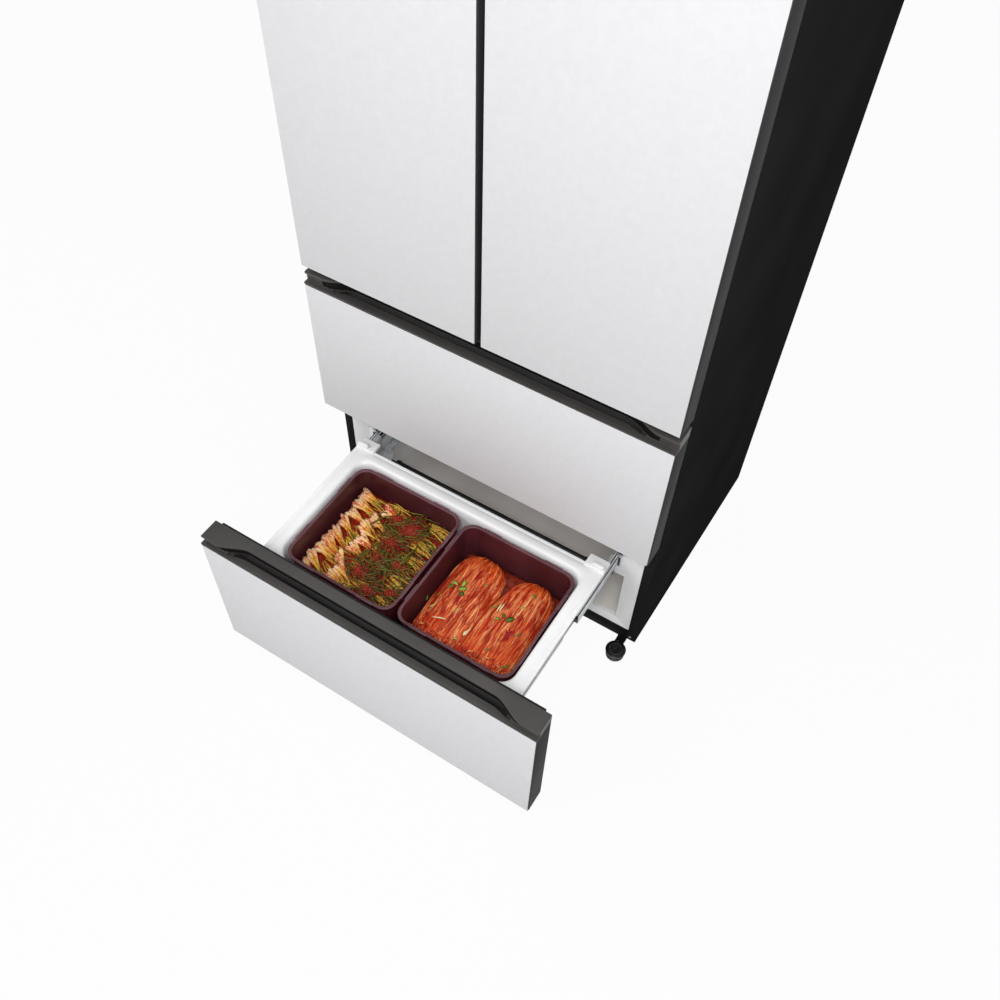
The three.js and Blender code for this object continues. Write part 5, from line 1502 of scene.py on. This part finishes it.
def leaf_relief(s, t, number):
    """Depth of the folds: ridges run along the head and break up at its cut front."""
    ridge = 1 - 2 * abs(noise.noise(Vector((s * 4.6 + 1.6 * t, t * 1.3, number * 5.0))))
    fine = noise.noise(Vector((s * 15 + 3.4 * t, t * 2.4, number * 9.0)))
    finest = noise.noise(Vector((s * 36 + 5.0 * t, t * 4.0, number * 3.0)))
    loose = noise.noise(Vector((s * 12, t * 24, number * 7.0)))
    cut = 1 - ease((t - 0.04) / HEAD_FRONT)
    folds = 0.55 * ridge + 0.45 * fine + 0.25 * finest
    return (1 - 0.7 * cut) * folds + (0.2 + 0.8 * cut) * loose


class Head:
    """One cabbage half: where its skin runs between base and crown."""

    def __init__(self, base, crown, side, half, y0, y1, squeeze):
        self.base, self.crown = base, crown
        self.side, self.half = side, half
        self.y0, self.y1 = y0, y1
        self.squeeze = squeeze
        self.middle = BOX_MIDDLE + side * (half + 0.5)

    def spot(self, s, t):
        x = self.middle + s * (self.half - 1) * head_width(t, self.squeeze)
        y = self.y0 + (self.y1 - self.y0) * t
        return x, y, self.base + (self.crown - self.base) * head_height(s, t, self.side)

    def skin(self, under):
        """Its surface, closed at the level under; the folds are kept as a map for the finish."""
        rings, reliefs = [], []
        for j in range(HEAD_ROWS + 1):
            t = j / HEAD_ROWS
            ring = []
            for i in range(HEAD_COLUMNS + 1):
                s = -1 + 2 * i / HEAD_COLUMNS
                x, y, z = self.spot(s, t)
                relief = leaf_relief(s, t, self.side)
                reliefs.append(relief)
                ring.append((x, y, z + FOLD_DEPTH * relief))
            foot = (self.half - 4) * head_width(t, self.squeeze)
            ring.append((self.middle + foot, y, under))
            ring.append((self.middle - foot, y, under))
            reliefs += [0.0, 0.0]
            rings.append(ring)
        return head_shell(rings, reliefs)


def head_shell(rings, reliefs):
    """A closed skin over rings, with each point's fold depth in its map."""
    count = len(rings[0])
    points = [p for ring in rings for p in ring]
    faces = []
    for level in range(len(rings) - 1):
        low, high = level * count, (level + 1) * count
        for i in range(count):
            j = (i + 1) % count
            faces.append((low + i, low + j, high + j, high + i))
    faces.append(tuple(reversed(range(count))))
    faces.append(tuple(range(len(points) - count, len(points))))
    shell = mesh_object("head", points, faces)
    layer = shell.data.uv_layers.new(name="stem")
    for loop in shell.data.loops:
        layer.data[loop.index].uv = (0.5 + 0.5 * reliefs[loop.vertex_index], 0.5)
    outward(shell)
    return shell


def rib(rng, head):
    """A thin pale leaf rib that follows the head along its length and sinks in at both ends."""
    s = rng.uniform(-0.96, 0.96)
    t0 = rng.uniform(0.02, 0.6)
    t1 = min(0.97, t0 + rng.uniform(0.25, 0.8))
    drift = rng.uniform(-0.2, 0.2)
    thick = rng.uniform(0.6, 1.5)
    path, radii = [], []
    for i in range(RIB_STEPS):
        u = i / (RIB_STEPS - 1)
        t = t0 + (t1 - t0) * u
        across = min(0.97, max(-0.97, s + drift * u + 0.035 * math.sin(u * 6 + s * 20)))
        x, y, z = head.spot(across, t)
        fold = FOLD_DEPTH * max(-0.2, leaf_relief(across, t, head.side))
        path.append((x, y, z + fold + 0.6 - 3.0 * abs(2 * u - 1) ** 4))
        radii.append(thick * (0.25 + 0.75 * math.sin(math.pi * (0.06 + 0.88 * u))))
    return swept(path, radii, 6, 0.6)


def build_cabbage_kimchi():
    rng = random.Random(23)
    crown = BOX_TOP - CROWN_DROP
    bed_top = crown - BED_UNDER_CROWN
    bed = food_bed("cabbage_bed", 1, bed_top - 2, 14, 4, 7.7)
    in_container(bed, CABBAGE_BED, ["cabbage_kimchi"])
    shells = []
    ribs = Bunch()
    for measures in HEADS:
        head = Head(bed_top - 6, crown, *measures)
        shells.append(head.skin(bed_top - 14))
        for _ in range(RIBS_PER_HEAD):
            ribs.add(rib(rng, head), rng.random())
    heads = joined("cabbage_heads", shells)
    pick(heads)
    bpy.ops.object.shade_smooth()
    in_container(heads, CABBAGE)

    # Short shreds where the leaves were cut, along the front wall.
    for _ in range(CUT_SHREDS):
        x = BOX_MIDDLE + rng.uniform(-126, 126)
        y = BOX_FRONT + inner_edge(bed_top) + rng.uniform(2, 40)
        base = bed_top + 20 + 12 * ease((y - 112) / 30) + rng.uniform(0, 6)
        heading, length = rng.uniform(0, 6.28), rng.uniform(6, 20)
        thick, curl = rng.uniform(0.9, 2.2), rng.uniform(-2, 2)
        ribs.add(strand(rng, (x, y), heading, length, thick, curl, 2, base, 7, 0.7), rng.random())
    wall = inner_edge(crown)
    keep_inside(ribs, (BOX_NEAR + wall, BOX_FAR - wall, BOX_FRONT + wall, BOX_BACK - wall), 2)
    in_container(ribs.build("cabbage_ribs"), CABBAGE_RIB)
    build_garnish(rng, crown)


# Garnish as it lies in the photograph, each at its x and y in the container, with its heading in
# degrees and its length, and the parsley leaves also with their width.
PARSLEY = (
    (66, 262, 10, 22, 12), (70, 270, 70, 20, 11), (62, 268, 150, 17, 10), (74, 258, -40, 16, 10),
    (56, 262, 200, 14, 8), (195, 250, 20, 22, 13), (190, 252, 100, 12, 8), (186, 246, 190, 12, 8),
    (222, 330, 120, 12, 7), (250, 150, 20, 16, 6),
)
CHILLI_STRIPS = (
    (76, 252, -75, 34), (82, 250, -82, 30), (80, 246, -68, 24), (216, 240, -80, 30),
    (222, 236, -95, 34), (210, 232, -60, 26), (226, 240, -70, 22),
)
ONION_STICKS = (
    (168, 282, -85, 26), (173, 284, -88, 24), (122, 152, 20, 16),
    (60, 172, 25, 34), (40, 190, 60, 16),
)
GREEN_BITS = (
    (36, 222, 60, 12), (150, 262, 20, 22), (206, 296, 10, 14), (232, 226, 50, 24),
    (90, 206, 60, 24), (24, 200, 95, 16), (110, 300, 40, 12), (196, 164, 30, 16),
)
BLADE_STEPS = 9
# A garlic sliver: where it starts, its step along x and y, and its radius at each step.
GARLIC_START, GARLIC_STEP = (140, 170), (0.6, 3.6)
GARLIC_RADII = (1.5, 3.6, 4.4, 3.6, 2.2, 1.3, 1.0, 0.5)


def leaf_blade(cx, cy, z, heading, length, width, curl):
    """A small flat leaf with a raised middle, as rings of a closed strip."""
    rings = []
    for i in range(BLADE_STEPS):
        u = i / (BLADE_STEPS - 1)
        half = width * math.sin(math.pi * min(0.97, max(0.03, u))) ** 0.8 / 2
        a = heading + curl * u
        x = cx + length * u * math.cos(a)
        y = cy + length * u * math.sin(a)
        side = (-math.sin(a), math.cos(a))
        lift = z + 3.5 * math.sin(math.pi * u)
        rings.append([
            (x + half * side[0], y + half * side[1], lift - 0.8),
            (x, y, lift + 0.4),
            (x - half * side[0], y - half * side[1], lift - 0.8),
            (x, y, lift - 0.7),
        ])
    return rings


def build_garnish(rng, crown):
    """Parsley, chilli strips, onion sticks and a garlic sliver on the cabbage."""
    green, red, pale = Bunch(), Bunch(), Bunch()
    for x, y, degrees, length, width in PARSLEY:
        heading = math.radians(degrees)
        green.add(leaf_blade(x, y, crown + 4.5, heading, length, width, 0.4), rng.random())
    for x, y, degrees, length in GREEN_BITS:
        heading = math.radians(degrees)
        bit = strand(rng, (x, y), heading, length, 1.5, 0.5, 1, crown + 3, 9, 0.6)
        green.add(bit, rng.random())
    for x, y, degrees, length in CHILLI_STRIPS:
        heading, curl = math.radians(degrees), rng.uniform(-0.3, 0.3)
        strip = strand(rng, (x, y), heading, length, 1.5, curl, 2, crown + 4, 10, 0.6)
        red.add(strip, rng.random())
    for x, y, degrees, length in ONION_STICKS:
        heading = math.radians(degrees)
        stick = strand(rng, (x, y), heading, length, 1.7, 0.1, 1, crown + 4, 8, 0.8)
        pale.add(stick, rng.random())
    (x, y), (step_x, step_y) = GARLIC_START, GARLIC_STEP
    steps = range(len(GARLIC_RADII))
    path = [(x + step_x * i, y + step_y * i, crown + 3.5) for i in steps]
    pale.add(swept(path, GARLIC_RADII, 10, 0.9), 0.1)
    in_container(green.build("cabbage_parsley"), PARSLEY_LEAF)
    in_container(red.build("cabbage_chilli_strips"), CHILLI)
    in_container(pale.build("cabbage_pale_sticks"), PALE_STEM)


# ------------------------------------------------------------------ studio

# Strength of the soft world light, and how much of the floor is seen as plain white paper.
WORLD_LIGHT = 0.52
PAPER_SHARE = 0.95
# Each lamp with its place, what it points at, its size and its power.
LAMPS = (
    ("key_lamp", (-2.6, -3.4, 4.2), (0, -0.2, 0.6), 2.6, 84),
    ("fill_lamp", (3.4, -3.2, 2.6), (0, -0.1, 0.7), 3.0, 20),
    ("lens_lamp", (0.9, -1.9, 3.2), (0, -0.25, 0.4), 1.0, 48),
)
# The viewing angle, height and lens that give the photograph's perspective on the doors.
CAMERA_PLACE = (0.7344, -1.2770, 2.1840)
CAMERA_TILT, CAMERA_TURN = 35.33, 32.93
LENS_MM, SENSOR_MM = 36.617, 36.0
LENS_SHIFT = (0.0308, 0.0309)


def build_floor():
    """White paper: plain white to the camera and in reflections, but it keeps the shadow."""
    bpy.ops.mesh.primitive_plane_add(size=30, location=(0, 0, -0.0005))
    floor = bpy.context.object
    floor.name = "studio_floor"
    paper = new_material("studio_paper")
    white = add(paper, "ShaderNodeBsdfDiffuse", {"Color": linear("#d2d2d2")})
    bright = add(paper, "ShaderNodeEmission", {"Color": (1, 1, 1, 1), "Strength": 1.0})
    rays = add(paper, "ShaderNodeLightPath")
    seen = add(paper, "ShaderNodeMath", {
        0: rays.outputs["Is Camera Ray"], 1: rays.outputs["Is Glossy Ray"],
    }, operation="MAXIMUM")
    through = add(paper, "ShaderNodeMath", {
        0: seen.outputs[0], 1: rays.outputs["Is Transmission Ray"],
    }, operation="MAXIMUM")
    share = add(paper, "ShaderNodeMath", {
        0: through.outputs[0], 1: PAPER_SHARE,
    }, operation="MULTIPLY")
    mixed = add(paper, "ShaderNodeMixShader", {
        0: share.outputs[0], 1: white.outputs[0], 2: bright.outputs[0],
    })
    finish_with(paper, mixed)
    floor.data.materials.append(paper)


def build_world():
    """Even white light; the camera sees plain white."""
    world = bpy.data.worlds.new("studio")
    bpy.context.scene.world = world
    world.use_nodes = True
    world.node_tree.nodes.clear()
    rays = add(world, "ShaderNodeLightPath")
    soft = add(world, "ShaderNodeBackground", {"Color": (1, 1, 1, 1), "Strength": WORLD_LIGHT})
    plain = add(world, "ShaderNodeBackground", {"Color": (1, 1, 1, 1), "Strength": 1.0})
    seen = add(world, "ShaderNodeMath", {
        0: rays.outputs["Is Camera Ray"], 1: rays.outputs["Is Transmission Ray"],
    }, operation="MAXIMUM")
    mixed = add(world, "ShaderNodeMixShader", {
        0: seen.outputs[0], 1: soft.outputs[0], 2: plain.outputs[0],
    })
    add(world, "ShaderNodeOutputWorld", {"Surface": mixed.outputs[0]})


def build_lamps():
    for name, place, target, size, power in LAMPS:
        lamp = bpy.data.lights.new(name, "AREA")
        lamp.shape = "DISK"
        lamp.size = size
        lamp.energy = power
        holder = bpy.data.objects.new(name, lamp)
        holder.location = place
        holder.rotation_euler = (Vector(target) - Vector(place)).to_track_quat("-Z", "Y").to_euler()
        bpy.context.scene.collection.objects.link(holder)


def build_camera():
    lens = bpy.data.cameras.new("studio_camera")
    lens.sensor_width = SENSOR_MM
    lens.lens = LENS_MM
    lens.shift_x, lens.shift_y = LENS_SHIFT
    lens.clip_start = 0.05
    lens.clip_end = 60
    camera = bpy.data.objects.new("studio_camera", lens)
    camera.location = CAMERA_PLACE
    camera.rotation_euler = (math.radians(CAMERA_TILT), 0, math.radians(CAMERA_TURN))
    bpy.context.scene.collection.objects.link(camera)
    bpy.context.scene.camera = camera
    bpy.context.scene.view_settings.view_transform = "Standard"


# ------------------------------------------------------------------ all together

build_cabinet()
build_feet()
build_fronts()
build_gaskets()
for drawer, front in (("middle_drawer", MIDDLE), ("lower_drawer", LOWER)):
    build_cap(drawer, front)
    build_bin(drawer, front)
    build_slides(drawer, front)
build_container(1, "container_right")
build_container(-1, "container_left")
build_onion_kimchi()
build_cabbage_kimchi()
build_floor()
build_world()
build_lamps()
build_camera()

deselect()
